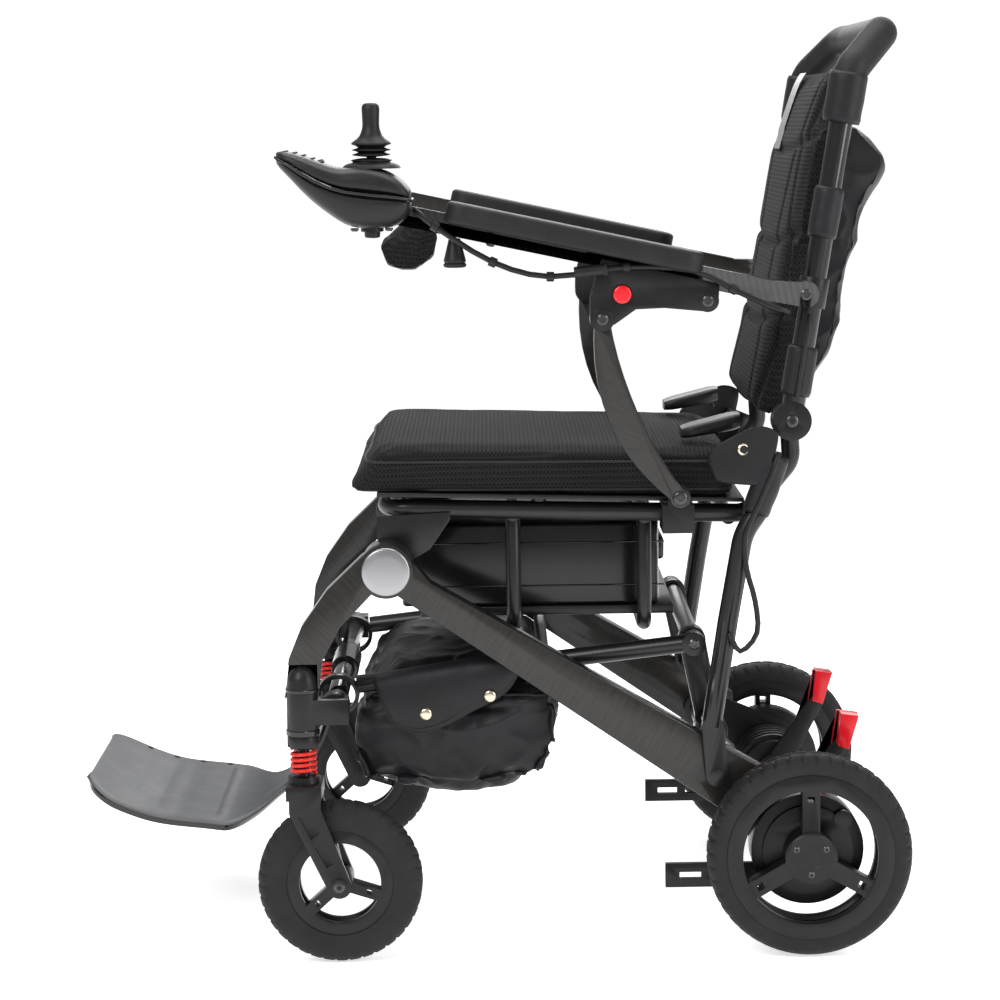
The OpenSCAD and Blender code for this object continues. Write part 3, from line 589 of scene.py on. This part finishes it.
# Seat pan and battery: a folded black sheet under the cushion on four buffers, and the battery
# case in its cradle, with gloss sides and two raised seams along its left side.
softened("seat_pan", powder, 0.0015)
case_black = moulded("battery_case", (0.005, 0.005, 0.0055), 0.22, 700, 0.00004, 0.06)
case_black.put("Coat Weight", 0.15).put("Coat Roughness", 0.12)
softened("battery_pack", case_black, 0.004)
low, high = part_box("battery_pack")
for k, z in enumerate((0.388, 0.436)):
    swept(f"case_seam_{k}", [(low.x + 0.006, low.y - 0.0004, z), (high.x - 0.006, low.y - 0.0004, z)], 0.0009,
          "chassis", case_black, 8)


# Seat cushion: a foam block in spacer mesh, ribbed across its top and open hexagons round its sides.
# A corded seam runs round the upper edge, and the front slopes down and under.
def mesh_fabric(name, rib_axis, face_axis, pitch=0.0046):
    made = Paint(name, (0.012, 0.012, 0.013), 0.86)
    made.put("Specular IOR Level", 0.15).put("Sheen Weight", 0.04).put("Sheen Roughness", 0.5)
    split = made.node("ShaderNodeSeparateXYZ")
    made.link(made.place, split.inputs[0])
    wave = made.maths("MULTIPLY", split.outputs[rib_axis], math.pi / pitch)
    rib = made.maths("ABSOLUTE", made.maths("SINE", wave))
    cells = made.node("ShaderNodeTexVoronoi", feature="DISTANCE_TO_EDGE", Scale=340, Randomness=0.0)
    made.link(made.scaled((1, 1, 0.8), (0.6, math.radians(45), 0)), cells.inputs["Vector"])
    net = made.maths("MINIMUM", made.maths("MULTIPLY", cells.outputs[0], 3.2), 1.0)
    facing = made.node("ShaderNodeSeparateXYZ")
    made.link(made.node("ShaderNodeTexCoord").outputs["Normal"], facing.inputs[0])
    flat = made.maths("GREATER_THAN", made.maths("ABSOLUTE", facing.outputs[face_axis]), 0.8)
    thread = made.maths("MULTIPLY", made.cloud(1500, 2.0), 0.35)
    top = made.maths("ADD", rib, thread)
    wall = made.maths("SUBTRACT", 1.0, net)
    mix = made.node("ShaderNodeMix", data_type="FLOAT")
    made.link(flat, mix.inputs[0])
    made.link(wall, mix.inputs[2])
    made.link(top, mix.inputs[3])
    # The colour follows the relief height: painted shade darkens the rib grooves and the hexagon holes, and
    # the thread noise adds the cloth's own uneven tone.
    made.colour_from(mix.outputs[0], [(0.1, (0.002, 0.002, 0.0025)), (0.95, (0.016, 0.016, 0.017))])
    return made.relief(mix.outputs[0], 0.0011, 0.9)


def stuffed(node, paint, cap, shrink=0.003, shape=None, voxel=0.006, pressure=4.0, after=None):
    """The CAD solid as a filled fabric shell: remeshed, shaped, blown up as cloth, then seamed.

    A point moves by no more than cap as the cloth swells. shape works on the slack shell before
    that, and after draws the seams and folds on the finished one."""
    piece = bpy.data.objects.new("sewn_" + node, frame["nodes"][node].data.copy())
    bpy.context.collection.objects.link(piece)
    work = bmesh.new()
    work.from_mesh(piece.data)
    bmesh.ops.remove_doubles(work, verts=work.verts, dist=0.00001)
    work.to_mesh(piece.data)
    work.free()
    remesh = piece.modifiers.new("even_mesh", "REMESH")
    remesh.mode = "VOXEL"
    remesh.voxel_size = voxel
    apply_modifiers(piece)
    low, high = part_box(node)
    centre = (low + high) / 2
    normals = [v.normal.copy() for v in piece.data.vertices]
    for vertex, normal in zip(piece.data.vertices, normals):
        vertex.co -= normal * shrink
        if shape:
            vertex.co = shape(vertex.co.copy(), low, high)
    start = [v.co.copy() for v in piece.data.vertices]
    cloth = piece.modifiers.new("fabric", "CLOTH")
    cloth.settings.quality = 5
    cloth.settings.mass = 0.3
    cloth.settings.tension_stiffness = 12
    cloth.settings.compression_stiffness = 12
    cloth.settings.shear_stiffness = 4
    cloth.settings.bending_stiffness = 0.4
    cloth.settings.use_pressure = True
    cloth.settings.uniform_pressure_force = pressure
    cloth.settings.effector_weights.gravity = 0
    cloth.collision_settings.use_collision = False
    for step in range(1, 21):
        bpy.context.scene.frame_set(step)
    apply_modifiers(piece)
    bpy.context.scene.frame_set(1)
    for vertex, was in zip(piece.data.vertices, start):
        moved = vertex.co - was
        if moved.length > cap:
            moved *= cap / moved.length
        vertex.co = was + moved
    finer = piece.modifiers.new("finer", "SUBSURF")
    finer.levels = finer.render_levels = 1
    apply_modifiers(piece)
    if after:
        piece.data.update()
        normals = [v.normal.copy() for v in piece.data.vertices]
        for vertex, normal in zip(piece.data.vertices, normals):
            vertex.co = after(vertex.co.copy(), normal, low, high)
    piece.data.materials.clear()
    piece.data.materials.append(paint.material)
    piece.data.polygons.foreach_set("use_smooth", [True] * len(piece.data.polygons))
    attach(piece, BODY_OF[node])
    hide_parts(node)
    return piece


def groove(distance, width, depth):
    """How deep a soft groove is at this distance from its line."""
    return depth * math.exp(-(distance / width) ** 2)


RAKE = math.tan(math.radians(1.6))


def raked(level, x):
    """A height on the cushion, whose top falls toward the back."""
    return level - RAKE * (x + 0.143)


def cushion_shape(p, low, high):
    height = (p.z - low.z) / (high.z - low.z)
    front = max(0.0, 1 - (p.x - low.x) / 0.06)
    p.x += (0.046 * max(0.0, height) - 0.028) * front
    return p


def cushion_seams(p, normal, low, high):
    middle_x, half_x = (low.x + high.x) / 2, (high.x - low.x) / 2
    crown = max(0.0, 1 - ((p.x - middle_x) / half_x) ** 2) * max(0.0, 1 - (p.y / 0.215) ** 2)
    if normal.z > 0.4:
        p.z += 0.004 * crown
    top = raked(0.551, p.x)
    waist = groove(p.z - (top - 0.011), 0.0024, 0.0009) + groove(p.z - (top - 0.041), 0.0024, 0.0009)
    return p - normal * waist * (1 if abs(normal.z) < 0.75 else 0)


cushion_cloth = mesh_fabric("cushion_mesh", 0, 2)
cushion = stuffed("seat_cushion", cushion_cloth, 0.006, 0.003, cushion_shape, after=cushion_seams)
piping = moulded("seam_piping", (0.010, 0.010, 0.011), 0.6, 1500, 0.0002)


def ring_on(piece, name, height_at, out, radius, body, paint, steps=220):
    """A cord sewn round a piece at the given height, laid on its surface."""
    points = [v.co for v in piece.data.vertices]
    near = Vector((min(p.x for p in points), min(p.y for p in points), 0))
    far_corner = Vector((max(p.x for p in points), max(p.y for p in points), 0))
    centre = (near + far_corner) / 2
    bpy.context.view_layer.update()
    path = []
    for k in range(steps):
        a = 2 * math.pi * k / steps
        far = Vector((centre.x + 0.6 * math.cos(a), centre.y + 0.6 * math.sin(a), 0))
        far.z = height_at(centre.x + 0.2 * math.cos(a))
        aim = Vector((centre.x, centre.y, height_at(centre.x)))
        hit, spot, normal, _ = piece.ray_cast(far, (aim - far).normalized())
        if hit:
            path.append(spot + normal * out)
    return swept(name, path, radius, body, paint, 8, True)


ring_on(cushion, "cushion_piping_upper", lambda x: raked(0.5395, x), 0.0006, 0.0016, "chassis", piping)
ring_on(cushion, "cushion_piping_lower", lambda x: raked(0.5095, x), 0.0006, 0.0014, "chassis", piping)


# Back pad: a padded panel laced to the two back tubes, with sewn channels across it and a corded
# edge. A plain reflective strip is sewn beside its top on the right-hand side.
def pad_front(z):
    """Where the front face of the pad lies, front to back, at a height."""
    knots = [(0.574, 0.291), (0.65, 0.312), (0.74, 0.330), (0.86, 0.352), (0.958, 0.381)]
    for (z0, x0), (z1, x1) in zip(knots, knots[1:]):
        if z <= z1:
            return x0 + (x1 - x0) * (z - z0) / (z1 - z0)
    return knots[-1][1]


def pad_seams(p, normal, low, high):
    if normal.x < 0.3:
        bulge = max(0.0, 1 - (p.y / 0.19) ** 4) * max(0.0, 1 - ((p.z - 0.765) / 0.2) ** 4)
        p.x -= 0.007 * bulge
    sag = 0.018 * (1 - (p.y / 0.18) ** 2)
    depth = sum(groove(p.z - (level - sag), 0.0050, 0.0045) for level in (0.690, 0.775, 0.880))
    inner_line = 0.128 - 0.040 * math.cos(math.pi * (p.z - 0.74) / 0.40) ** 2
    outer_line = 0.160 + 0.008 * math.sin(math.pi * (p.z - 0.60) / 0.16)
    if normal.x < -0.3:
        depth += groove(abs(p.y) - inner_line, 0.0050, 0.0055) + groove(abs(p.y) - outer_line, 0.0045, 0.0050)
    return p - normal * depth * (0.3 if normal.x > 0.5 else 1)


pad_cloth = mesh_fabric("back_mesh", 2, 0)
pad = stuffed("back_pad", pad_cloth, 0.007, 0.003, after=pad_seams)
reflector = Paint("reflective_strip", (0.30, 0.31, 0.32), 0.4, 0.5)
reflector.rough_from(reflector.cloud(200), 0.25, 0.45)
reflector.relief(reflector.cloud(2500, 1.0), 0.0001, 0.5)
STRIP_FOOT, STRIP_HEAD, STRIP_EDGE = 0.862, 0.948, 0.045
rows = []
for k in range(15):
    z = STRIP_FOOT + (STRIP_HEAD - STRIP_FOOT) * k / 14
    reach = []
    for q in range(7):
        for lift in (-0.012, 0, 0.012):
            level = min(z + lift, 0.950)
            start = Vector((0.1, STRIP_EDGE + 0.010 * q, level))
            hit, spot, normal, _ = pad.ray_cast(start, Vector((1, 0, 0)))
            if hit:
                reach.append(spot.x - 0.24 * (level - z))
    for q in range(5):
        rows.append((min(reach) - 0.0008, STRIP_EDGE + 0.060 * q / 4, z))
new_piece("reflective_strip", rows, grid_faces(15, 5, False, False), "backrest", reflector)


# Bags: black coated nylon, soft and creased, one behind the back and one on the lower frame.
# The lower bag has a piped cover and a stitched side flap closed by two brass snaps.
nylon = Paint("black_nylon", (0.010, 0.010, 0.012), 0.5)
nylon.put("Sheen Weight", 0.03).put("Specular IOR Level", 0.3)
nylon.colour_from(nylon.cloud(12), [(0.3, (0.0045, 0.0045, 0.0055)), (0.8, (0.009, 0.009, 0.012))])
nylon.rough_from(nylon.cloud(25), 0.38, 0.58)
nylon.relief(nylon.cloud(1600, 1.0), 0.00012, 0.5)
nylon.relief(nylon.cloud(34, 4.0), 0.0035, 0.35)
brass = Paint("brass", (0.66, 0.58, 0.44), 0.25, 1.0)
brass.rough_from(brass.cloud(90), 0.18, 0.34)


def creases(p, amount, stretch=(9, 9, 22)):
    """Folds in the cloth: sharp ridges between smooth hollows."""
    a = noise(Vector((p.x * stretch[0], p.y * stretch[1], p.z * stretch[2])))
    b = noise(Vector((p.x * stretch[0] * 2.6 + 7, p.y * stretch[1] * 2.6, p.z * stretch[2] * 2.2)))
    return amount * ((1 - abs(a)) ** 4 * 1.2 - 0.5 + 0.45 * ((1 - abs(b)) ** 3 - 0.4))


def back_bag_folds(p, normal, low, high):
    slack = 1 if normal.x > -0.2 else 0.2
    return p + normal * creases(p, 0.0045, (10, 7, 13)) * slack


def bag_hangs_flat(p, low, high):
    """Pulls the rear of the empty bag in toward the pad, least near its top edge."""
    back_of_pad = pad_front(p.z) + 0.0245
    keep = (0.60 + 0.22 * math.exp(-((p.z - 0.855) / 0.035) ** 2)
            + 0.10 * math.exp(-((p.z - 0.65) / 0.05) ** 2))
    if p.x > back_of_pad:
        p.x = back_of_pad + (p.x - back_of_pad) * keep
    return p


def under_bag_folds(p, normal, low, high):
    seam = groove(p.z - (low.z + 0.012), 0.004, 0.003) + groove(p.z - 0.262, 0.004, 0.002)
    return p + normal * (creases(p, 0.0062, (12, 9, 13)) - seam)


def bag_sag(p, low, high):
    """Lets the underside sag and swell forward, and keeps the sides clear of the side beams."""
    share = (p.x - low.x) / (high.x - low.x)
    drop = 4 * share * (1 - share)
    low_part = max(0.0, 1 - (p.z - low.z) / (high.z - low.z))
    p.z += 0.010 * (1 - drop) * low_part
    p.x = high.x - (high.x - p.x) * (1 + 0.13 * min(1.0, 1.6 * low_part))
    p.y *= 0.975
    return p


stuffed("back_bag", nylon, 0.006, 0.005, bag_hangs_flat, after=back_bag_folds)
lower_bag = stuffed("under_bag", nylon, 0.008, 0.006, bag_sag, after=under_bag_folds)


def panel(name, columns, thickness, body, paint):
    """A cloth panel: columns is a list of polylines of equal length, given thickness."""
    count = len(columns[0])
    points = [Vector(p) for column in columns for p in column]
    piece = new_piece(name, points, grid_faces(len(columns), count, False, False), body, paint)
    finer = piece.modifiers.new("finer", "SUBSURF")
    finer.levels = finer.render_levels = 2
    wall = piece.modifiers.new("thickness", "SOLIDIFY")
    wall.thickness = thickness
    wall.offset = 0
    apply_modifiers(piece)
    return piece


flap_columns = []
top_a, top_b = Vector((-0.128, -0.205, 0.297)), Vector((0.036, -0.205, 0.322))
hem = [(-0.105, 0.243), (-0.080, 0.236), (-0.050, 0.243), (-0.020, 0.262), (0.005, 0.272), (0.022, 0.284),
       (0.031, 0.300)]
for k, (x, z) in enumerate(hem):
    a = top_a.lerp(top_b, k / (len(hem) - 1))
    b = Vector((x, -0.207, z))
    flap_columns.append([a + Vector((0, 0.012, 0.004)), a, a.lerp(b, 0.35) + Vector((0, -0.0045, 0)),
                         a.lerp(b, 0.7) + Vector((0, -0.003 - 0.003 * (k % 2), 0)), b])
panel("bag_flap", flap_columns, 0.0022, "lower_section", nylon)
stitch_path = [(x - 0.0005, -0.2092, z + 0.0065) for x, z in hem]
swept("flap_hem", smooth_path(stitch_path), 0.0011, "lower_section", piping, 8)
snap_profile = [(0, 0.0064), (0.0010, 0.0064), (0.0018, 0.0058), (0.0024, 0.0040), (0.0026, 0.0020),
                (0.0027, 0)]
for k, (x, z) in enumerate(((-0.0695, 0.2600), (0.0005, 0.2790))):
    turned(f"bag_snap_{k}", (x, -0.2115, z), (0, -1, 0), snap_profile, "lower_section", brass, 32)


def on_surface(piece, start, toward, out):
    """The spot where a line first meets a piece, moved out by a little, or None where it misses."""
    hit, spot, normal, _ = piece.ray_cast(Vector(start), Vector(toward).normalized())
    return spot + normal * out if hit else None


bpy.context.view_layer.update()
cover = []
COVER_STEPS = 59
for k in range(COVER_STEPS + 1):
    x = -0.128 + (0.076 + 0.128) * k / COVER_STEPS
    spot = on_surface(lower_bag, (x, -0.4, 0.276), (0, 1, 0), 0.0008)
    if spot:
        cover.append(spot)
swept("bag_cover_piping", cover, 0.0018, "lower_section", piping, 8)


# Mesh pouch: a small soft bag in net cloth, which hangs from the right armrest beam.
# The net is a finish on a closed, creased shell.
net_cloth = mesh_fabric("pouch_net", 2, 2, 0.004)
net_cloth.put("Roughness", 0.6)


def pouch_folds(p, normal, low, high):
    return p + normal * creases(p, 0.002, (30, 20, 30))


stuffed("mesh_pouch", net_cloth, 0.006, 0.003, after=pouch_folds)


# Armrest pads and push bar: moulded soft foam with a fine leather grain and round edges.
# The pads are bolted down on the arm beams, and the bar's foam is slid over the tube.
foam = moulded("soft_foam", (0.0075, 0.0075, 0.008), 0.55, 900, 0.00025, 0.06)
SLOPE = math.atan2(54, 247)
arm_line = Vector((math.cos(SLOPE), 0, -math.sin(SLOPE)))
arm_normal = Vector((math.sin(SLOPE), 0, math.cos(SLOPE)))
pads = softened("arm_pads", foam, 0)
for vertex in pads.data.vertices:
    if (vertex.co - Vector((0.303, vertex.co.y, 0.717))).dot(arm_normal) < 0.0125:
        vertex.co -= arm_normal * 0.0085
bevel = pads.modifiers.new("wide_round", "BEVEL")
bevel.width = 0.0050
bevel.segments = 4
bevel.limit_method = "ANGLE"
bevel.angle_limit = math.radians(40)
apply_modifiers(pads)
pads.data.polygons.foreach_set("use_smooth", [True] * len(pads.data.polygons))
pads.data.set_sharp_from_angle(angle=math.radians(50))
grip = softened("push_grip", foam, 0, 70)
for edge in grip.data.edges:
    edge.use_edge_sharp = False
for hand, sign in (("left", -1), ("right", 1)):
    for k, along in enumerate((-0.300, -0.130)):
        base = Vector((0.303, sign * 0.250, 0.717)) + arm_line * along
        bolt(f"pad_screw_{hand}_{k}", base - arm_normal * 0.0105, -arm_normal, 0.0045, 0.003, "armrests",
             screw_black)


# Hand control: a two-part moulded shell with a lighter bezel, a sloped keypad and a rubber boot.
# The knob, its stem and the three bellows discs under it are one piece of soft rubber.
CONTROL_Y = -0.250
STICK_X = -0.1155
shell_black = moulded("control_shell", (0.0075, 0.0075, 0.008), 0.42, 1300, 0.00014)
bezel_black = moulded("control_bezel", (0.014, 0.014, 0.015), 0.3, 1000, 0.00006)
STATIONS = [(-0.2150, 0.8590, 0.8640, 0.8690, 0.017), (-0.2110, 0.8525, 0.8610, 0.8702, 0.029),
            (-0.2020, 0.8440, 0.8570, 0.8700, 0.0355), (-0.1890, 0.8290, 0.8480, 0.8665, 0.0385),
            (-0.1740, 0.8145, 0.8390, 0.8610, 0.0400), (-0.1580, 0.8025, 0.8320, 0.8545, 0.0405),
            (-0.1440, 0.7925, 0.8280, 0.8515, 0.0410), (-0.1300, 0.7890, 0.8260, 0.8545, 0.0415),
            (-0.1150, 0.7885, 0.8240, 0.8535, 0.0415), (-0.1000, 0.7890, 0.8225, 0.8490, 0.0410),
            (-0.0880, 0.7910, 0.8210, 0.8430, 0.0395), (-0.0790, 0.7990, 0.8195, 0.8340, 0.0365),
            (-0.0740, 0.8080, 0.8180, 0.8265, 0.0320)]


def shell(name, lower, paint, node):
    """One half of the control's casing, lofted through the stations."""
    rows = []
    for x, bottom, seam, top, half in STATIONS:
        for k in range(25):
            a = math.pi * k / 24
            c, s = math.cos(a), math.sin(a)
            y = half * math.copysign(abs(c) ** 0.55, c)
            reach = (seam - bottom) if lower else (top - seam)
            power = 0.75 if lower else 0.5
            z = seam + (-1 if lower else 1) * (0.0006 + (reach - 0.0006) * abs(s) ** power)
            rows.append((x, CONTROL_Y + y, z))
    piece = new_piece(name, rows, grid_faces(len(STATIONS), 25, False, True) +
                      [tuple(range(25)), tuple(range((len(STATIONS) - 1) * 25, len(STATIONS) * 25))],
                      "armrests", paint, True, (node,))
    tidy(piece)
    finer = piece.modifiers.new("finer", "SUBSURF")
    finer.levels = finer.render_levels = 1
    apply_modifiers(piece)
    piece.data.set_sharp_from_angle(angle=math.radians(42))
    return piece


shell("control_lower_shell", True, shell_black, "controller_base")
top_shell = shell("control_upper_shell", False, shell_black, "controller_top")
seam_line = [(x, CONTROL_Y - half * 1.001, seam) for x, _, seam, _, half in STATIONS]
seam_line += [(x, CONTROL_Y + half * 1.001, seam) for x, _, seam, _, half in reversed(STATIONS)]
swept("control_bezel", seam_line, 0.0016, "armrests", bezel_black, 8, True)
bpy.context.view_layer.update()
for k in range(5):
    for q in range(2):
        x, y = -0.206 + 0.0095 * k, -0.262 + 0.024 * q
        spot = on_surface(top_shell, (x, y, 0.95), (0, 0, -1), -0.0012)
        if spot:
            turned(f"key_{k}_{q}", spot, (-0.25, 0, 1),
                   [(0, 0.0036), (0.0014, 0.0036), (0.0020, 0.0028), (0.0021, 0)], "armrests",
                   bezel_black, 20)
turned("power_key", (-0.170, CONTROL_Y, 0.8555), (-0.3, 0, 1),
       [(0, 0.0058), (0.0040, 0.0058), (0.0052, 0.0046), (0.0048, 0)], "power", bezel_black, 32,
       ("power_button",))
boot_profile = [(0.0, 0.0310), (0.0030, 0.0292), (0.0052, 0.0250), (0.0062, 0.0200), (0.0072, 0.0196),
                (0.0078, 0.0212), (0.0090, 0.0214), (0.0100, 0.0180), (0.0106, 0.0140), (0.0110, 0.0100)]
boot_rubber = moulded("boot_rubber", (0.006, 0.006, 0.006), 0.5, 1200, 0.0001)
turned("bellows_boot", (STICK_X, CONTROL_Y, 0.8510), (0, 0, 1), boot_profile, "armrests", boot_rubber, 64,
       ("joystick_boot",))
knob_profile = [(0.0004, 0.0001), (0.0018, 0.0028), (0.0036, 0.0047), (0.0222, 0.0052), (0.0232, 0.0150),
                (0.0240, 0.0198), (0.0250, 0.0200), (0.0262, 0.0160), (0.0270, 0.0138), (0.0282, 0.0160),
                (0.0290, 0.0200), (0.0300, 0.0202), (0.0312, 0.0160), (0.0322, 0.0138), (0.0340, 0.0165),
                (0.0352, 0.0206), (0.0366, 0.0210), (0.0384, 0.0190), (0.0410, 0.0150), (0.0440, 0.0122),
                (0.0480, 0.0104), (0.0520, 0.0092), (0.0560, 0.0088), (0.0660, 0.0091), (0.0720, 0.0094),
                (0.0755, 0.0088), (0.0772, 0.0072), (0.0780, 0.0050), (0.0783, 0.0001)]
turned("stick_knob", (STICK_X, CONTROL_Y, 0.8408), (0, 0, 1), knob_profile, "stick", boot_rubber, 64,
       ("joystick",))
chrome = Paint("bright_steel", (0.7, 0.7, 0.71), 0.18, 1.0)
chrome.rough_from(chrome.cloud(80), 0.12, 0.26)
softened("joystick_gimbal", chrome, 0)
softened("clamp_knob", shell_black, 0.0008, 25)
turned("clamp_ring", (-0.030, -0.243, 0.7460), (0, 0, 1),
       [(0, 0.0095), (0.001, 0.0118), (0.0035, 0.0122), (0.005, 0.0105)], "armrests", rubber, 40)
for k, x in enumerate((-0.134, -0.098)):
    bolt(f"control_bolt_{k}", (x, -0.262, 0.7895), (0, 0, -1), 0.0042, 0.0035, "armrests", screw_black)
turned("control_clamp", (-0.116, CONTROL_Y, 0.7895), (0, 0, -1),
       [(0, 0.0120), (0.004, 0.0120), (0.005, 0.0085), (0.010, 0.0080), (0.011, 0.0060), (0.0112, 0)],
       "armrests", casting, 32)


# Cables: round black jackets that run along the arm, the back tube and the rear post.
# The arm's cable has five clips on it and a moulded plug with a rubber ring in its middle.
jacket = moulded("cable_jacket", (0.006, 0.006, 0.006), 0.42, 1000, 0.00008)
for node in ("cable_arm", "cable_back", "cable_frame"):
    softened(node, jacket, 0, 80)


def band(name, centre, along, radius, width, body, paint):
    """A short ring round a cable, with its edges broken."""
    profile = [(0, radius - 0.0008), (0.0006, radius), (width - 0.0006, radius), (width, radius - 0.0008)]
    start = Vector(centre) - Vector(along).normalized() * width / 2
    return turned(name, start, along, profile, body, paint, 28)


CABLE_Y = -0.262
clips = [(-0.050, 0.790, 0.84, -0.54), (0.010, 0.752, 0.9, -0.4), (0.070, 0.736, 1, -0.04),
         (0.150, 0.745, 1, 0.02), (0.262, 0.720, 0.9, -0.44)]
for k, (x, z, dx, dz) in enumerate(clips):
    band(f"arm_clip_{k}", (x, CABLE_Y, z), (dx, 0, dz), 0.0052, 0.008, "armrests", shell_black)
band("cable_plug", (0.112, CABLE_Y, 0.7412), (1, 0, 0.1), 0.0062, 0.034, "armrests", shell_black)
band("cable_plug_ring", (0.128, CABLE_Y, 0.7425), (1, 0, 0.1), 0.0068, 0.004, "armrests", rubber)


# Sleeves on the back tubes: nylon tape laced round the tubes holds the pad, with bare gloss
# tube between the three bands on each side.
TUBE_FOOT, TUBE_HEAD = 0.576, 0.945


def back_tube(z, sign):
    """The middle of a back tube at a height."""
    share = (z - TUBE_FOOT) / (TUBE_HEAD - TUBE_FOOT)
    return Vector((0.3275 + 0.062 * share, sign * 0.213, z))


def wrap(name, path, radius, body, paint, wobble=0.0006, sides=28):
    """A sleeve drawn over a tube, with small folds."""
    rows = []
    ahead = (Vector(path[-1]) - Vector(path[0])).normalized()
    across = ahead.cross(Vector((0, 1, 0))).normalized()
    third = ahead.cross(across)
    count = len(path)
    for i, p in enumerate(path):
        for k in range(sides):
            a = 2 * math.pi * k / sides
            direction = across * math.cos(a) + third * math.sin(a)
            spot = Vector(p) + direction * radius
            drawn_in = 0.0012 if i in (0, count - 1) else 0
            rows.append(spot + direction * wobble * noise(spot * 55) - direction * drawn_in)
    piece = new_piece(name, rows, grid_faces(count, sides), body, paint)
    wall = piece.modifiers.new("thickness", "SOLIDIFY")
    wall.thickness = 0.0012
    wall.offset = -1
    apply_modifiers(piece)
    return piece


tapes = [(0.892, 0.944, 0.0193), (0.771, 0.824, 0.0148), (0.603, 0.655, 0.0152)]
for hand, sign in (("left", -1), ("right", 1)):
    for k, (z0, z1, radius) in enumerate(tapes):
        path = [back_tube(z0 + (z1 - z0) * i / 12, sign) for i in range(13)]
        wrap(f"tube_tape_{hand}_{k}", path, radius, "backrest", nylon)

# Fabric gusset and straps: a nylon flap with a metal eyelet joins seat and back at each side,
# and two flat webbing straps run up from the seat to the foot of the back pad.
outline = [[(0.283, 0.571), (0.292, 0.573), (0.303, 0.571), (0.312, 0.566)],
           [(0.262, 0.561), (0.278, 0.561), (0.296, 0.560), (0.311, 0.556)],
           [(0.232, 0.543), (0.256, 0.543), (0.281, 0.543), (0.308, 0.542)],
           [(0.240, 0.526), (0.260, 0.526), (0.281, 0.526), (0.304, 0.526)],
           [(0.244, 0.512), (0.262, 0.510), (0.280, 0.509), (0.300, 0.508)]]
STRAP_ROWS, STRAP_SIDES = 13, 24
webbing = moulded("gloss_strap", (0.006, 0.006, 0.007), 0.34, 1500, 0.0001)
for hand, sign in (("left", -1), ("right", 1)):
    columns = [[(x, sign * (0.2225 + 0.0175 * (x - 0.232) / 0.075 + 0.0008 * math.sin(5 * q + 3 * k)), z)
                for q, (x, z) in enumerate(row)] for k, row in enumerate(outline)]
    panel("gusset_" + hand, columns, 0.002, "chassis", nylon)
    turned("gusset_eyelet_" + hand, (0.2745, sign * 0.2336, 0.5475), (0.23, sign, 0),
           [(0, 0.0064), (0.0012, 0.0064), (0.0020, 0.0054), (0.0016, 0.0044), (0.0004, 0.0040)], "chassis",
           brass, 32)
    # A dark rubber disc inside each eyelet is painted shade standing for its open hole.
    turned("eyelet_hole_shade_" + hand, (0.2745, sign * 0.2336, 0.5475), (0.23, sign, 0),
           [(0, 0.0041), (0.0009, 0.0041), (0.0010, 0)], "chassis", rubber, 28)
    wrap("gusset_sleeve_" + hand,
         [Vector((0.2880 + 0.0230 * i / 12, sign * 0.2255, 0.478 + 0.062 * i / 12)) for i in range(13)],
         0.0142, "chassis", nylon, 0.0012)
    rows = []
    for i in range(STRAP_ROWS):
        t = i / (STRAP_ROWS - 1)
        end = 0.82 + 0.18 * math.sin(math.pi * min(1, 5 * min(t, 1 - t)) / 2)
        for k in range(STRAP_SIDES):
            a = 2 * math.pi * k / STRAP_SIDES
            c, w = math.cos(a), math.sin(a)
            rows.append((0.213 + 0.064 * t,
                         sign * 0.150 + end * 0.024 * math.copysign(abs(c) ** 0.4, c),
                         0.5580 + 0.0130 * t + end * (0.0065 + 0.0030 * t) * math.copysign(abs(w) ** 0.5, w)))
    ends = [tuple(range(STRAP_SIDES)), tuple(range((STRAP_ROWS - 1) * STRAP_SIDES, STRAP_ROWS * STRAP_SIDES))]
    strap = new_piece("seat_strap_" + hand, rows, grid_faces(STRAP_ROWS, STRAP_SIDES) + ends, "chassis",
                      webbing)
    tidy(strap)
    strap.data.set_sharp_from_angle(angle=math.radians(50))
    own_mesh(strap)


# Screws: button-head screws with hexagon sockets at the hinges and links of the frame.
# Each is fixed with the piece that its head bears on.
for hand, sign in (("left", -1), ("right", 1)):
    for name, x, z, node, radius, body in (
            ("back_hinge", 0.3275, 0.576, "back_knuckles", 0.0065, "backrest"),
            ("arm_hinge", 0.3395, 0.713, "arm_beams", 0.0060, "armrests"),
            ("link_foot", 0.206, 0.498, "arm_clamps", 0.0070, "chassis"),
            ("bracket_front", 0.1245, 0.690, "arm_brackets", 0.0060, "armrests"),
            ("bracket_rear", 0.2355, 0.708, "arm_brackets", 0.0060, "armrests"),
            ("strut_head", 0.2235, 0.330, "lower_frame", 0.0060, "lower_section")):
        low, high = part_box(node)
        face = low.y if sign < 0 else high.y
        bolt(f"{name}_screw_{hand}", (x, face - sign * 0.0004, z), (0, sign, 0), radius, 0.0026, body,
             screw_black)
